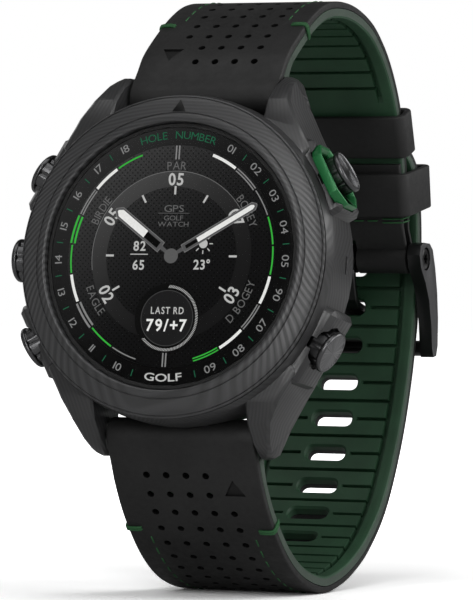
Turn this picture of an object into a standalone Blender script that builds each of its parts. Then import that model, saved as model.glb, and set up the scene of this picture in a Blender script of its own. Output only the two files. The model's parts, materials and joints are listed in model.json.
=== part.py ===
"""Golf GPS watch with its strap buckled.

Units are metres, written here in millimetres times MM. The watch stands as it does when worn:
+Z up, the dial towards -Y, 3 o'clock towards +X. The origin is the middle of the wrist opening.

Case parts are drawn "on the bench": x to 3 o'clock, y to 12 o'clock, n out through the glass,
with n = 0 at the case's top rim. Band parts are drawn in the (back, up) plane measured from
the same rim centre, and are as wide in X as the text says.
"""

import math

import bmesh
import bpy
from mathutils import Matrix, Vector

MM = 0.001
LEAN = math.radians(8.2)  # the case leans back against the wrist
RIM = Vector((0, -38, 5))  # rim centre, from the middle of the wrist opening

# case, as radii and heights
CASE_R = 22.6
BORE_R = 18.9
BEZEL_R = 22.15
GLASS_R = 18.0
LUG_IN = 11.15  # inner face of a lug
LUG_OUT = 13.3
BAR_Y, BAR_N = 23.4, -8.2  # lug bar axis
BAR_R = 0.75
BUTTON_N = -4.3
BUTTON_TRAVEL = 0.7
# name: direction in degrees anticlockwise from 3 o'clock, height of the cap's end
BUTTONS = {
    "start": (29, 26.1),
    "back": (-29, 25.3),
    "down": (209, 25.3),
    "up": (180, 24.9),
    "light": (151, 25.3),
}

# strap
HALF_W = 10.85
SKIN = 0.9  # leather
CORE = (1.0, 2.4)  # rubber, as depths below the outer face
BARREL_R = 2.4
BUCKLE = (65.1, 0.7)  # buckle bar axis
PITCH = 6.0
SLOT = (6.1, 2.3)
PITCH_START = -1  # slots run from one before the tongue's slot ...
PITCH_END = 8  # ... to the seventh after it
# outer face of each strap half, as (back, up), from the lug to the free end
UPPER = [(14.0, 28.35), (18.5, 31.4), (23.5, 34.2), (28.7, 36.1), (34.6, 36.8), (41, 36.4),
         (47.5, 34.7), (52.3, 32.0), (56.0, 28.8), (59.4, 24.4), (61.6, 19.7), (63.1, 14.8),
         (64.1, 9.6), (64.7, 5.2)]
LOWER = [(5.9, -31.7), (9.4, -36.3), (15.0, -41.4), (21.4, -44.9), (29.4, -46.8),
         (35.4, -46.5), (42, -44.9), (49, -41.7), (56.2, -36.0), (62.4, -27.0),
         (66.6, -17.4), (69.0, -8.4), (70.1, -0.4), (70.2, 4.6), (69.6, 9.4), (67.9, 16.2),
         (67.2, 18.6)]


# ---------------------------------------------------------------- helpers

CASE = Matrix.Translation(RIM * MM) @ Matrix.Rotation(math.pi / 2 - LEAN, 4, "X")
BAND = Matrix.Translation(RIM * MM) @ Matrix(((0, 0, 1, 0), (1, 0, 0, 0), (0, 1, 0, 0), (0, 0, 0, 1)))


def clear_scene():
    for obj in list(bpy.data.objects):
        bpy.data.objects.remove(obj, do_unlink=True)
    for name in ("golf_gps_watch", "cutters"):
        group = bpy.data.collections.new(name)
        bpy.context.scene.collection.children.link(group)


def put(name, mesh, place):
    """An object for a mesh, in the cutters' collection until it turns out to be a part."""
    obj = bpy.data.objects.new(name, mesh)
    bpy.data.collections["cutters"].objects.link(obj)
    obj.hide_render = True
    obj.display_type = "WIRE"
    obj.matrix_world = place
    return obj


def face_out(mesh, weld=0.0):
    """Closes the seams of a mesh and turns its faces outwards."""
    shape = bmesh.new()
    shape.from_mesh(mesh)
    if weld:
        bmesh.ops.remove_doubles(shape, verts=shape.verts, dist=weld)
        bmesh.ops.dissolve_limit(shape, angle_limit=1e-3, verts=shape.verts, edges=shape.edges)
    bmesh.ops.recalc_face_normals(shape, faces=shape.faces)
    shape.to_mesh(mesh)
    shape.free()
    return mesh


def turned(name, profile, steps, place):
    """A (radius, height) profile turned about the height axis by a Screw modifier.

    A profile that starts and ends on the axis is a solid of revolution, any other a ring.
    """
    half_step = math.pi / steps
    points = [(r * math.cos(half_step) * MM, r * math.sin(half_step) * MM, h * MM)
              for r, h in profile]
    edges = [(k, k + 1) for k in range(len(points) - 1)]
    if profile[0][0] > 0:
        edges.append((len(points) - 1, 0))
    mesh = bpy.data.meshes.new(name)
    mesh.from_pydata(points, edges, [])
    obj = put(name, mesh, place)
    turn = obj.modifiers.new("turn", "SCREW")
    turn.axis = "Z"
    turn.angle = 2 * math.pi
    turn.steps = turn.render_steps = steps
    turn.use_merge_vertices = True
    turn.merge_threshold = 1e-6
    bake(obj)
    face_out(obj.data)
    return obj


def prism(name, outline, low, high, place, hole=None):
    """A flat outline as a filled 2D curve, extruded between two heights along the third axis."""
    curve = bpy.data.curves.new(name, "CURVE")
    curve.dimensions = "2D"
    curve.fill_mode = "BOTH"
    curve.extrude = (high - low) / 2 * MM
    for points in (outline, hole):
        if points is None:
            continue
        line = curve.splines.new("POLY")
        line.points.add(len(points) - 1)
        for corner, (a, b) in zip(line.points, points):
            corner.co = (a * MM, b * MM, 0, 1)
        line.use_cyclic_u = True
    return converted(curve, place @ Matrix.Translation(Vector((0, 0, (low + high) / 2)) * MM))


def wire(name, points, radius, place):
    """A round wire through points, with four sides and filled ends."""
    curve = bpy.data.curves.new(name, "CURVE")
    curve.dimensions = "3D"
    curve.bevel_depth = radius * MM
    curve.bevel_resolution = 0
    curve.use_fill_caps = True
    line = curve.splines.new("POLY")
    line.points.add(len(points) - 1)
    for corner, point in zip(line.points, points):
        corner.co = (*(c * MM for c in point), 1)
    return converted(curve, place)


def converted(curve, place):
    """A curve's shape as a closed mesh object."""
    shape = put(curve.name, curve, place)
    bpy.context.view_layer.update()
    graph = bpy.context.evaluated_depsgraph_get()
    mesh = bpy.data.meshes.new_from_object(shape.evaluated_get(graph))
    name = curve.name
    bpy.data.objects.remove(shape, do_unlink=True)
    bpy.data.curves.remove(curve)
    mesh.name = name
    return put(name, face_out(mesh, weld=2e-6), place)


def rod(name, centre, radius, low, high, sides=12):
    """A cylinder across the band, centred on a (back, up) point."""
    shape = bmesh.new()
    bmesh.ops.create_cone(shape, cap_ends=True, segments=sides, radius1=radius * MM,
                          radius2=radius * MM, depth=(high - low) * MM)
    mesh = bpy.data.meshes.new(name)
    shape.to_mesh(mesh)
    shape.free()
    middle = Vector((centre[0], centre[1], (low + high) / 2))
    return put(name, mesh, BAND @ Matrix.Translation(middle * MM))


def box(name, low, high, place):
    """A cuboid between two corners."""
    size = Vector(high) - Vector(low)
    shape = bmesh.new()
    bmesh.ops.create_cube(shape, size=1.0)
    bmesh.ops.scale(shape, vec=size * MM, verts=shape.verts)
    mesh = bpy.data.meshes.new(name)
    shape.to_mesh(mesh)
    shape.free()
    return put(name, mesh, place @ Matrix.Translation((Vector(low) + Vector(high)) / 2 * MM))


def loft(name, rings, place, closed=False):
    """Rings of equal point counts joined in order, with the ends capped or joined.

    For strips whose section changes along their length.
    """
    count = len(rings[0])
    points = [[c * MM for c in p] for ring in rings for p in ring]
    faces = []
    last = len(rings) if closed else len(rings) - 1
    for k in range(last):
        one, two = k * count, (k + 1) % len(rings) * count
        for i in range(count):
            j = (i + 1) % count
            faces.append([one + i, one + j, two + j, two + i])
    if not closed:
        faces += [list(range(count)), list(range((len(rings) - 1) * count, len(points)))]
    mesh = bpy.data.meshes.new(name)
    mesh.from_pydata(points, [], faces)
    return put(name, face_out(mesh), place)


def rounded(width, depth, radius, segments=3):
    """The corners of a rounded rectangle centred on the origin."""
    out = []
    for cx, cy, start in ((1, 1, 0), (-1, 1, 90), (-1, -1, 180), (1, -1, 270)):
        for k in range(segments + 1):
            angle = math.radians(start + 90 * k / segments)
            out.append((cx * (width / 2 - radius) + radius * math.cos(angle),
                        cy * (depth / 2 - radius) + radius * math.sin(angle)))
    return out


def arc(cx, cy, radius, start, end, segments):
    """Points on an arc, in degrees."""
    return [(cx + radius * math.cos(math.radians(start + (end - start) * k / segments)),
             cy + radius * math.sin(math.radians(start + (end - start) * k / segments)))
            for k in range(segments + 1)]


def bake(obj):
    """Turns the modifiers into plain mesh."""
    bpy.context.view_layer.update()
    graph = bpy.context.evaluated_depsgraph_get()
    mesh = bpy.data.meshes.new_from_object(obj.evaluated_get(graph))
    obj.modifiers.clear()
    obj.data = mesh


def combine(obj, others, operation):
    """Unites, cuts or intersects with the EXACT solver, and removes the helpers."""
    for other in others:
        step = obj.modifiers.new("b", "BOOLEAN")
        step.operation = operation
        step.solver = "EXACT"
        step.object = other
        bake(obj)
        bpy.data.objects.remove(other, do_unlink=True)
    return obj


def soften(obj, width, angle=35, segments=1):
    """A bevel on the sharp edges."""
    edge = obj.modifiers.new("soften", "BEVEL")
    edge.width = width * MM
    edge.segments = segments
    edge.limit_method = "ANGLE"
    edge.angle_limit = math.radians(angle)
    edge.use_clamp_overlap = True
    bake(obj)
    return obj


# ---------------------------------------------------------------- the closed band's line

def smooth(points, step):
    """Evenly spaced points on a smooth curve through the given ones."""
    fine = []
    ends = [points[0]] + list(points) + [points[-1]]
    for k in range(1, len(ends) - 2):
        a, b, c, d = (Vector(ends[i]) for i in range(k - 1, k + 3))
        for i in range(20):
            t = i / 20
            fine.append(0.5 * (2 * b + (c - a) * t + (2 * a - 5 * b + 4 * c - d) * t * t
                               + (3 * b - a - 3 * c + d) * t ** 3))
    fine.append(Vector(points[-1]))
    lengths = [0.0]
    for one, two in zip(fine, fine[1:]):
        lengths.append(lengths[-1] + (two - one).length)
    count = max(2, round(lengths[-1] / step))
    out, k = [], 0
    for i in range(count + 1):
        wanted = lengths[-1] * i / count
        while k < len(fine) - 2 and lengths[k + 1] < wanted:
            k += 1
        part = (wanted - lengths[k]) / max(1e-9, lengths[k + 1] - lengths[k])
        out.append(fine[k].lerp(fine[k + 1], min(1.0, max(0.0, part))))
    return out


def bench_to_side(y, n):
    """A point of the case's middle plane as (back, up)."""
    return Vector((y * math.sin(LEAN) - n * math.cos(LEAN), y * math.cos(LEAN) + n * math.sin(LEAN)))


def lug_frame(side):
    """Lug bar centre, and the directions along the strap and out of it, as (back, up)."""
    centre = bench_to_side(side * BAR_Y, BAR_N)
    zero = bench_to_side(0, 0)
    along = bench_to_side(side * 0.817, -0.577) - zero
    out = bench_to_side(side * 0.577, 0.817) - zero
    return centre, along, out


def on_lug(side, a, b):
    centre, along, out = lug_frame(side)
    return centre + a * along + b * out


def normals(path, side):
    """Unit vectors out of the loop along a path."""
    out = []
    for k in range(len(path)):
        run = path[min(k + 1, len(path) - 1)] - path[max(k - 1, 0)]
        run.normalize()
        out.append(Vector((-run.y, run.x)) * side)
    return out


def strap_line(side):
    """The outer face of a strap half from the top of its barrel to its end, and its normals."""
    given = [tuple(on_lug(side, a, BARREL_R)) for a in (0, 3)] + (UPPER if side > 0 else LOWER)
    path = smooth(given, 2.4)
    return path, normals(path, side)


def locate(side, up_value, rising):
    """The point, normal and run of a strap line where its height passes a value near the back."""
    path, outs = strap_line(side)
    order = range(len(path) - 1)
    for k in (reversed(order) if rising else order):
        low, high = sorted((path[k].y, path[k + 1].y))
        if low <= up_value <= high and path[k].x > 45:
            part = (up_value - path[k].y) / (path[k + 1].y - path[k].y)
            point = path[k].lerp(path[k + 1], part)
            out = outs[k].lerp(outs[k + 1], part).normalized()
            return point, out, Vector((out.y, -out.x))
    raise ValueError(up_value)


def layer(name, path, outs, top, bottom, widths, outer_edge, inner_edge, place=BAND):
    """A strip that follows a path, between two depths below it, with chamfered long edges."""
    rings = []
    for point, out, half in zip(path, outs, widths):
        section = [(-half + outer_edge, top), (half - outer_edge, top), (half, top + outer_edge),
                   (half, bottom - inner_edge), (half - inner_edge, bottom),
                   (-half + inner_edge, bottom), (-half, bottom - inner_edge),
                   (-half, top + outer_edge)]
        rings.append([(*(point - out * depth), x) for x, depth in section])
    return loft(name, rings, place)


def side_block(name, outline, half, place=BAND, low=None):
    """An outline in the (back, up) plane, pulled across the width."""
    return prism(name, [tuple(p) for p in outline], -half if low is None else low, half, place)


# ---------------------------------------------------------------- case

def button_place(angle):
    """Height runs out along the button, the second axis runs round the case."""
    return (CASE @ Matrix.Translation(Vector((0, 0, BUTTON_N)) * MM)
            @ Matrix.Rotation(math.radians(angle), 4, "Z") @ Matrix.Rotation(math.pi / 2, 4, "Y"))


def make_lug(quarter):
    """One lug: its plan outline crossed with its side outline."""
    sx, sy = quarter
    plan = [(11.15, 13), (11.15, 26.5), (12.6, 26.4), (13.3, 25.5), (14.6, 21.8), (16.5, 18.2),
            (18.2, 15.2), (16.5, 13)]
    lug = prism("lug", [(sx * x, sy * y) for x, y in plan], -12, 0, CASE)
    across = Matrix.Rotation(math.pi / 2, 4, "Y") @ Matrix.Rotation(math.pi / 2, 4, "Z")
    view = [(12.5, -1.0), (19.4, -1.0), (22.2, -2.2), (24.6, -4.7), (26.2, -7.5), (26.4, -9.2),
            (25.5, -10.5), (22, -10.9), (12.5, -10.4)]
    side = prism("side", [(sy * y, n) for y, n in view], -20, 20, CASE @ across)
    combine(lug, [side], "INTERSECT")
    return soften(lug, 0.35, 30)


def make_boss(angle):
    """The flat-topped wing a button comes out of."""
    sign = 1 if 0 < (angle % 180) < 90 else -1
    low, high = (-5.2, 6.2) if sign > 0 else (-6.2, 5.2)
    block = box("boss", (-2.8, low, 17.5), (4.6, high, 24.0), button_place(angle))
    return soften(block, 0.7, 30)


def button_bore(angle, end):
    seat = end - 2.6 - BUTTON_TRAVEL - 0.2
    return turned("bore", [(0, 17), (1.0, 17), (1.0, 19.2), (1.45, 19.2), (1.45, 19.9),
                           (1.0, 19.9), (1.0, 20.3), (1.75, 20.3), (1.75, seat), (2.95, seat),
                           (2.95, 23.3), (3.25, 23.3), (3.25, 29), (0, 29)], 14,
                  button_place(angle))


def guard_outline(grow):
    """Eight corners round the start button: first axis inwards through the case, second round it."""
    u, v, c = 3.7 + grow, 4.7 + grow, 1.9 + 0.4 * grow
    return [(u, v - c), (u - c, v), (-u + c, v), (-u, v - c), (-u, c - v), (c - u, -v),
            (u - c, -v), (u, c - v)]


def make_case_middle():
    case = turned("case_middle", [
        (BORE_R, -10.9), (BORE_R, -1.25), (21.8, -1.25), (21.8, 0.4), (22.15, 0.4),
        (22.55, -1.0), (CASE_R, -2.2), (CASE_R, -8.9), (21.4, -10.9)], 52, CASE)
    combine(case, [make_lug((sx, sy)) for sx in (1, -1) for sy in (1, -1)], "UNION")
    combine(case, [make_boss(a) for a in (29, -29, 209, 151)], "UNION")
    inside = turned("inside", [(0, -12), (BORE_R, -12), (BORE_R, -1.25), (21.8, -1.25),
                               (21.8, 1.5), (0, 1.5)], 52, CASE)
    cutters = [inside] + [button_bore(*b) for b in BUTTONS.values()]
    cutters.append(prism("pocket", guard_outline(0.15), 22.95, 27, button_place(29)))
    for side in (1, -1):
        centre = lug_frame(side)[0]
        cutters.append(rod("notch", centre, BARREL_R + 0.45, -LUG_IN, LUG_IN, 24))
        cutters.append(rod("pin", centre, BAR_R + 0.12, -12.7, 12.7))
    for x, y in rear_screw_spots():
        cutters.append(turned("tap", [(0, -11.5), (0.6, -11.5), (0.6, -8.8), (0, -8.8)], 10,
                              CASE @ Matrix.Translation(Vector((x, y, 0)) * MM)))
    vent = prism("vent", rounded(0.7, 2.6, 0.34), 21.9, 25,
                 button_place(0) @ Matrix.Translation(Vector((2.0, 0, 0)) * MM))
    cutters.append(vent)
    return combine(case, cutters, "DIFFERENCE")


def make_bezel():
    return turned("bezel", [
        (17.65, -0.25), (21.5, -0.25), (21.5, 0.7), (BEZEL_R - 0.1, 0.7), (BEZEL_R, 0.8),
        (BEZEL_R, 0.95), (22.0, 1.08), (19.3, 1.86), (18.7, 1.98), (18.35, 1.78), (18.35, 0.4),
        (17.65, 0.4)], 56, CASE)


def make_crystal():
    return turned("crystal", [(0, 1.2), (GLASS_R, 1.2), (GLASS_R, 1.78), (GLASS_R - 0.12, 1.9),
                              (0, 1.9)], 48, CASE)


def make_display_stack():
    turned("crystal_gasket", [(17.75, 0.5), (18.2, 0.5), (18.2, 1.1), (17.75, 1.1)], 32, CASE)
    turned("chapter_ring", [(15.3, 0.35), (17.55, 0.35), (17.55, 1.1), (15.3, 1.1)], 40, CASE)
    turned("display_panel", [(0, 0.35), (15.2, 0.35), (15.2, 1.1), (0, 1.1)], 40, CASE)


def make_antenna():
    """A ring under the bezel, open at one place as an antenna is."""
    ring = turned("gps_antenna", [(19.4, -0.95), (21.1, -0.95), (21.1, -0.55), (19.4, -0.55)],
                  32, CASE)
    gap = box("gap", (-0.6, -23, -2), (0.6, -18, 1), CASE)
    return combine(ring, [gap], "DIFFERENCE")


def make_inner_frame():
    """The tray the display, the board and the battery are fixed to."""
    return turned("inner_frame", [(0, -0.4), (16.3, -0.4), (16.3, -8.0), (17.0, -8.0),
                                  (17.0, -0.4), (17.3, -0.4), (17.3, 0.1), (0, 0.1)], 32, CASE)


def make_electronics():
    turned("main_board", [(0, -1.7), (15.9, -1.7), (15.9, -0.9), (0, -0.9)], 32, CASE)
    outline = rounded(23.0, 19.0, 3.0)
    prism("battery", outline, -7.0, -2.1, CASE @ Matrix.Translation(Vector((0, 1.5, 0)) * MM))
    motor = CASE @ Matrix.Translation(Vector((0, -12.2, 0)) * MM)
    turned("vibration_motor", [(0, -5.0), (3.0, -5.0), (3.0, -2.2), (0, -2.2)], 20, motor)
    turned("sensor_board", [(0, -9.3), (8.5, -9.3), (8.5, -8.5), (0, -8.5)], 28, CASE)


def rear_screw_spots():
    return [(19.85 * math.cos(math.radians(a)), 19.85 * math.sin(math.radians(a)))
            for a in (45, 135, 225, 315)]


def make_rear():
    cover = turned("rear_cover", [
        (0, -10.3), (18.0, -10.3), (18.0, -11.2), (20.9, -11.2), (20.9, -11.9), (20.4, -12.3),
        (16, -12.9), (9.6, -13.1), (9.6, -12.2), (0, -12.2)], 40, CASE)
    cutters = []
    for x, y in rear_screw_spots():
        spot = CASE @ Matrix.Translation(Vector((x, y, 0)) * MM)
        cutters.append(turned("seat", [(0, -14), (1.05, -14), (1.05, -11.75), (0.6, -11.75),
                                       (0.6, -10.9), (0, -10.9)], 14, spot))
    port = CASE @ Matrix.Translation(Vector((0, -14.0, 0)) * MM)
    cutters.append(prism("port", rounded(8.2, 4.2, 1.0), -14, -11.4, port))
    combine(cover, cutters, "DIFFERENCE")
    for k, (x, y) in enumerate(rear_screw_spots()):
        spot = CASE @ Matrix.Translation(Vector((x, y, 0)) * MM)
        turned(f"rear_screw_{k + 1}", [(0, -12.15), (0.9, -12.15), (0.9, -11.85), (0.45, -11.85),
                                       (0.45, -9.2), (0, -9.2)], 12, spot)
    turned("rear_gasket", [(18.2, -10.8), (18.7, -10.8), (18.7, -10.35), (18.2, -10.35)], 32,
           CASE)
    prism("charge_port", rounded(7.8, 3.8, 0.9), -12.75, -11.5, port)
    turned("sensor_window", [(0, -12.35), (9.4, -12.35), (9.4, -13.15), (7.5, -13.55),
                             (4.0, -13.75), (0, -13.8)], 32, CASE)


def make_button(name, angle, end):
    """Cap with its stem, return spring, seal ring and retaining clip."""
    place = button_place(angle)
    under = end - 2.6
    turned(f"button_{name}", [
        (0, 17.9), (0.85, 17.9), (0.85, under), (2.55, under), (2.55, end - 0.85),
        (3.0, end - 0.65), (3.0, end - 0.22), (2.75, end), (0, end - 0.15)], 16, place)
    turned(f"button_seal_{name}", [(0.98, 19.35), (1.32, 19.35), (1.32, 19.7), (0.98, 19.7)],
           10, place)
    turned(f"button_clip_{name}", [(0.97, 18.1), (1.7, 18.1), (1.7, 18.45), (0.97, 18.45)], 10,
           place)
    low, high = 20.42, under - BUTTON_TRAVEL - 0.12
    turns, around = 2.5, 8
    total = int(turns * around)
    coil = []
    for k in range(total + 1):
        turn = 2 * math.pi * k / around
        rise = low + 0.16 + (high - low - 0.32) * k / total
        coil.append((1.36 * math.cos(turn), 1.36 * math.sin(turn), rise))
    wire(f"button_spring_{name}", coil, 0.13, place)


def make_guard():
    """The coloured frame round the start button."""
    outer, inner = guard_outline(0), guard_outline(-0.85)
    slope = guard_outline(-0.35)
    rings = [[(*p, 23.1) for p in outer], [(*p, 24.5) for p in outer],
             [(*p, 24.5) for p in slope], [(*p, 23.9) for p in inner],
             [(*p, 23.1) for p in inner]]
    return loft("start_button_guard", rings, button_place(29), closed=True)


# ---------------------------------------------------------------- band

def make_lug_bar(name, side):
    centre = lug_frame(side)[0]
    return rod(name, centre, BAR_R, -12.55, 12.55)


def barrel(side, start, count, radius):
    """Points and normals round the lug end, from under it up to the top of the barrel."""
    centre, along, out = lug_frame(side)
    points, outs = [], []
    for k in range(count):
        angle = math.radians(start + (90 - start) * k / count)
        way = math.cos(angle) * along + math.sin(angle) * out
        points.append(centre + radius * way)
        outs.append(way)
    return points, outs


def make_lower_leather():
    path, outs = strap_line(-1)
    first, first_outs = barrel(-1, 225, 8, BARREL_R)
    points, ways = first + path, first_outs + outs
    widths = [HALF_W] * len(points)
    widths[-3:] = [10.6, 9.6, 7.2]
    obj = layer("lower_leather", points, ways, 0, SKIN, widths, 0.25, 0)
    return combine(obj, slot_cutters(), "DIFFERENCE")


def slot_spots():
    """Heights of the adjusting slots on the tail: the tongue is in the second."""
    path, outs = strap_line(-1)
    lengths = [0.0]
    for one, two in zip(path, path[1:]):
        lengths.append(lengths[-1] + (two - one).length)
    base = locate(-1, -6.9, True)[0]
    k = min(range(len(path)), key=lambda i: (path[i] - base).length)
    centre = lengths[k] + (base - path[k]).length * (1 if base.y > path[k].y else -1)
    spots = []
    for i in range(PITCH_START, PITCH_END):
        wanted = centre - i * PITCH
        j = max(m for m in range(len(path) - 1) if lengths[m] <= wanted)
        part = (wanted - lengths[j]) / (lengths[j + 1] - lengths[j])
        spots.append((path[j].lerp(path[j + 1], part), outs[j].lerp(outs[j + 1], part).normalized()))
    return spots


def slot_cutters():
    cutters = []
    for point, out in slot_spots():
        cutters.append(prism("slot", rounded(SLOT[0], SLOT[1], 1.0), -4.0, 1.5,
                             strap_place(point, out)))
    return cutters


def strap_place(point, out):
    """Axes at a point of a strap: across it, along it, and out of its face."""
    run = Vector((out.y, -out.x))
    axes = Matrix(((0, run.x, out.x, point.x * MM), (0, run.y, out.y, point.y * MM),
                   (1, 0, 0, 0), (0, 0, 0, 1)))
    return BAND @ axes


def trimmed(path, outs, start, end):
    """The part of a path between two lengths from its start."""
    kept, ways, run = [], [], 0.0
    for k, point in enumerate(path):
        if k:
            run += (point - path[k - 1]).length
        if start <= run <= end:
            kept.append(point)
            ways.append(outs[k])
    return kept, ways


def make_lower_rubber():
    path, outs = trimmed(*strap_line(-1), 7.0, 1e9)
    widths = [HALF_W] * len(path)
    widths[-3:] = [10.6, 9.6, 7.2]
    obj = layer("lower_rubber", path, outs, *CORE, widths, 0, 0.45)
    return combine(obj, slot_cutters(), "DIFFERENCE")


def make_upper_rubber():
    path, outs = trimmed(*strap_line(1), 7.0, 1e9)
    kept = [k for k, p in enumerate(path) if p.x < 45 or p.y > 8.5]
    path, outs = [path[k] for k in kept], [outs[k] for k in kept]
    return layer("upper_rubber", path, outs, *CORE, [HALF_W] * len(path), 0, 0.45)


def make_upper_leather():
    """The outer leather, round the buckle bar and back up the inner face as far as the keeper."""
    path, outs = strap_line(1)
    half = SKIN / 2
    first, first_outs = barrel(1, 225, 8, BARREL_R - half)
    line = first + [p - o * half for p, o in zip(path, outs)]
    ways = first_outs + list(outs)
    for k in range(13):
        angle = math.radians(50 - 280 * k / 12)
        way = Vector((math.cos(angle), math.sin(angle)))
        line.append(Vector(BUCKLE) + (2.2 - half) * way)
        ways.append(way)
    back = [(p - o * (2.55 + half), -o) for p, o in zip(path, outs) if p.x > 45 and 5.5 < p.y < 15.5]
    for point, way in reversed(back):
        line.append(point)
        ways.append(way)
    obj = layer("upper_leather", line, ways, -half, half, [HALF_W] * len(line), 0.2, 0)
    y, z = BUCKLE
    notch = box("notch", (y - 4, z - 4, -3.05), (y + 4, z + 2.7, 3.05), BAND)
    return combine(obj, [notch], "DIFFERENCE")


def make_connector(name, side):
    """The metal hook in the strap's end: open towards the wrist, with a plate under the leather."""
    outline = [(0, 1.35), (6.3, 1.3), (6.3, 0.35), (1.35, 0.35)]
    outline += arc(0, 0, 0.95, -12, 222, 9) + arc(0, 0, 1.35, 222, 100, 5)
    return side_block(name, [on_lug(side, a, b) for a, b in outline], 9.8)


def make_latch(name, side):
    """The slide on the wrist side that closes the hook."""
    outline = [(-0.45, -1.75), (-0.45, -1.1), (1.6, -1.1), (1.9, 0.1), (5.4, 0.1), (5.4, -0.75),
               (4.4, -0.9), (3.4, -1.75)]
    return side_block(name, [on_lug(side, a, b) for a, b in outline], 5.0)


def strap_loop(name, point, out, low, high, length, wall):
    """A closed band round the strap, between two depths below its outer face."""
    centre = point - out * (low + high) / 2
    width = 2 * HALF_W + 0.9
    place = strap_place(centre, out) @ Matrix.Rotation(-math.pi / 2, 4, "X")
    return prism(name, rounded(width + 2 * wall, high - low + 2 * wall, 1.5),
                 -length / 2, length / 2, place, hole=rounded(width, high - low, 0.5))


def make_keepers():
    point, out, _ = locate(1, 19.6, True)
    strap_loop("fixed_keeper", point, out, -0.35, 2.75, 6.4, 1.0)
    point, out, _ = locate(1, 10.6, True)
    tail = locate(-1, 12.0, True)[0]
    reach = (tail - point).dot(out)
    strap_loop("free_keeper", point, out, -reach - 0.85, 3.85, 6.4, 1.0)


def frame_arm(low, high):
    """One side of the buckle frame, seen from the side."""
    outline = [(62.2, 1.2), (62.6, 2.6), (64.0, 3.1), (66.6, 3.0), (68.0, 2.1), (69.2, -0.6),
               (70.2, -4.2), (70.7, -8.0), (70.7, -12.2), (70.1, -13.7), (68.8, -13.9),
               (68.2, -12.6), (67.7, -9.0), (66.6, -5.4), (64.9, -2.8), (62.8, -0.6)]
    return side_block("arm", outline, high, low=low)


def make_frame():
    frame = frame_arm(11.35, 13.35)
    frame.name = "buckle_frame"
    bar = rod("bar", (69.6, -12.6), 1.15, -11.8, 11.8)
    combine(frame, [frame_arm(-13.35, -11.35), bar], "UNION")
    bore = rod("bore", BUCKLE, 1.3, -20, 20, 16)
    seats = [rod("seat", BUCKLE, 1.75, 12.25, 20, 16), rod("seat", BUCKLE, 1.75, -20, -12.25, 16)]
    soften(frame, 0.45, 40)
    return combine(frame, [bore] + seats, "DIFFERENCE")


def make_buckle_bar():
    y, z = BUCKLE
    bar = rod("buckle_bar", BUCKLE, 1.1, -12.0, 12.0, 16)
    taps = [rod("tap", BUCKLE, 0.75, 9.2, 13, 10), rod("tap", BUCKLE, 0.75, -13, -9.2, 10)]
    combine(bar, taps, "DIFFERENCE")
    for name, sign in (("buckle_screw_right", 1), ("buckle_screw_left", -1)):
        place = BAND @ Matrix.Translation(Vector((y, z, 0)) * MM)
        if sign < 0:
            place = place @ Matrix.Rotation(math.pi, 4, "X")
        turned(name, [(0, 9.4), (0.55, 9.4), (0.55, 12.45), (1.55, 12.45), (1.55, 13.1),
                      (1.4, 13.25), (0, 13.25)], 16, place)


def make_tongue():
    """A flat tongue that hangs on the bar, goes out through a slot and rests on the frame."""
    line = [(64.0, -1.0), (64.4, -3.2), (65.1, -5.2), (66.3, -6.2), (68.1, -6.65), (69.9, -7.0),
            (71.0, -8.2), (71.4, -10.2), (71.45, -12.6), (71.3, -14.2)]
    path = [Vector(p) for p in line]
    outs = normals(path, -1)
    obj = layer("buckle_tongue", path, outs, -0.5, 0.5, [2.5] * len(path), 0.15, 0.15)
    combine(obj, [rod("ring", BUCKLE, 2.15, -2.5, 2.5, 20)], "UNION")
    return combine(obj, [rod("eye", BUCKLE, 1.3, -4, 4, 16)], "DIFFERENCE")


# ---------------------------------------------------------------- finishes and hierarchy

# finish: base colour, roughness, metallic
FINISH = {
    "carbon": ((0.035, 0.036, 0.038), 0.45, 0.0),
    "sapphire": ((0.90, 0.92, 0.95), 0.02, 0.0),
    "black_gloss": ((0.015, 0.015, 0.017), 0.25, 0.0),
    "black_plastic": ((0.030, 0.030, 0.030), 0.6, 0.0),
    "gold": ((0.80, 0.60, 0.30), 0.25, 1.0),
    "board": ((0.05, 0.20, 0.10), 0.6, 0.0),
    "foil": ((0.60, 0.60, 0.60), 0.35, 1.0),
    "steel": ((0.55, 0.55, 0.56), 0.3, 1.0),
    "dark_steel": ((0.040, 0.040, 0.042), 0.35, 1.0),
    "grey_metal": ((0.09, 0.09, 0.095), 0.4, 1.0),
    "guard_green": ((0.02, 0.24, 0.07), 0.35, 0.6),
    "cap_metal": ((0.07, 0.07, 0.073), 0.25, 1.0),
    "seal": ((0.020, 0.020, 0.020), 0.8, 0.0),
    "green_rubber": ((0.03, 0.09, 0.05), 0.55, 0.0),
    "leather": ((0.020, 0.020, 0.021), 0.6, 0.0),
}
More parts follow.
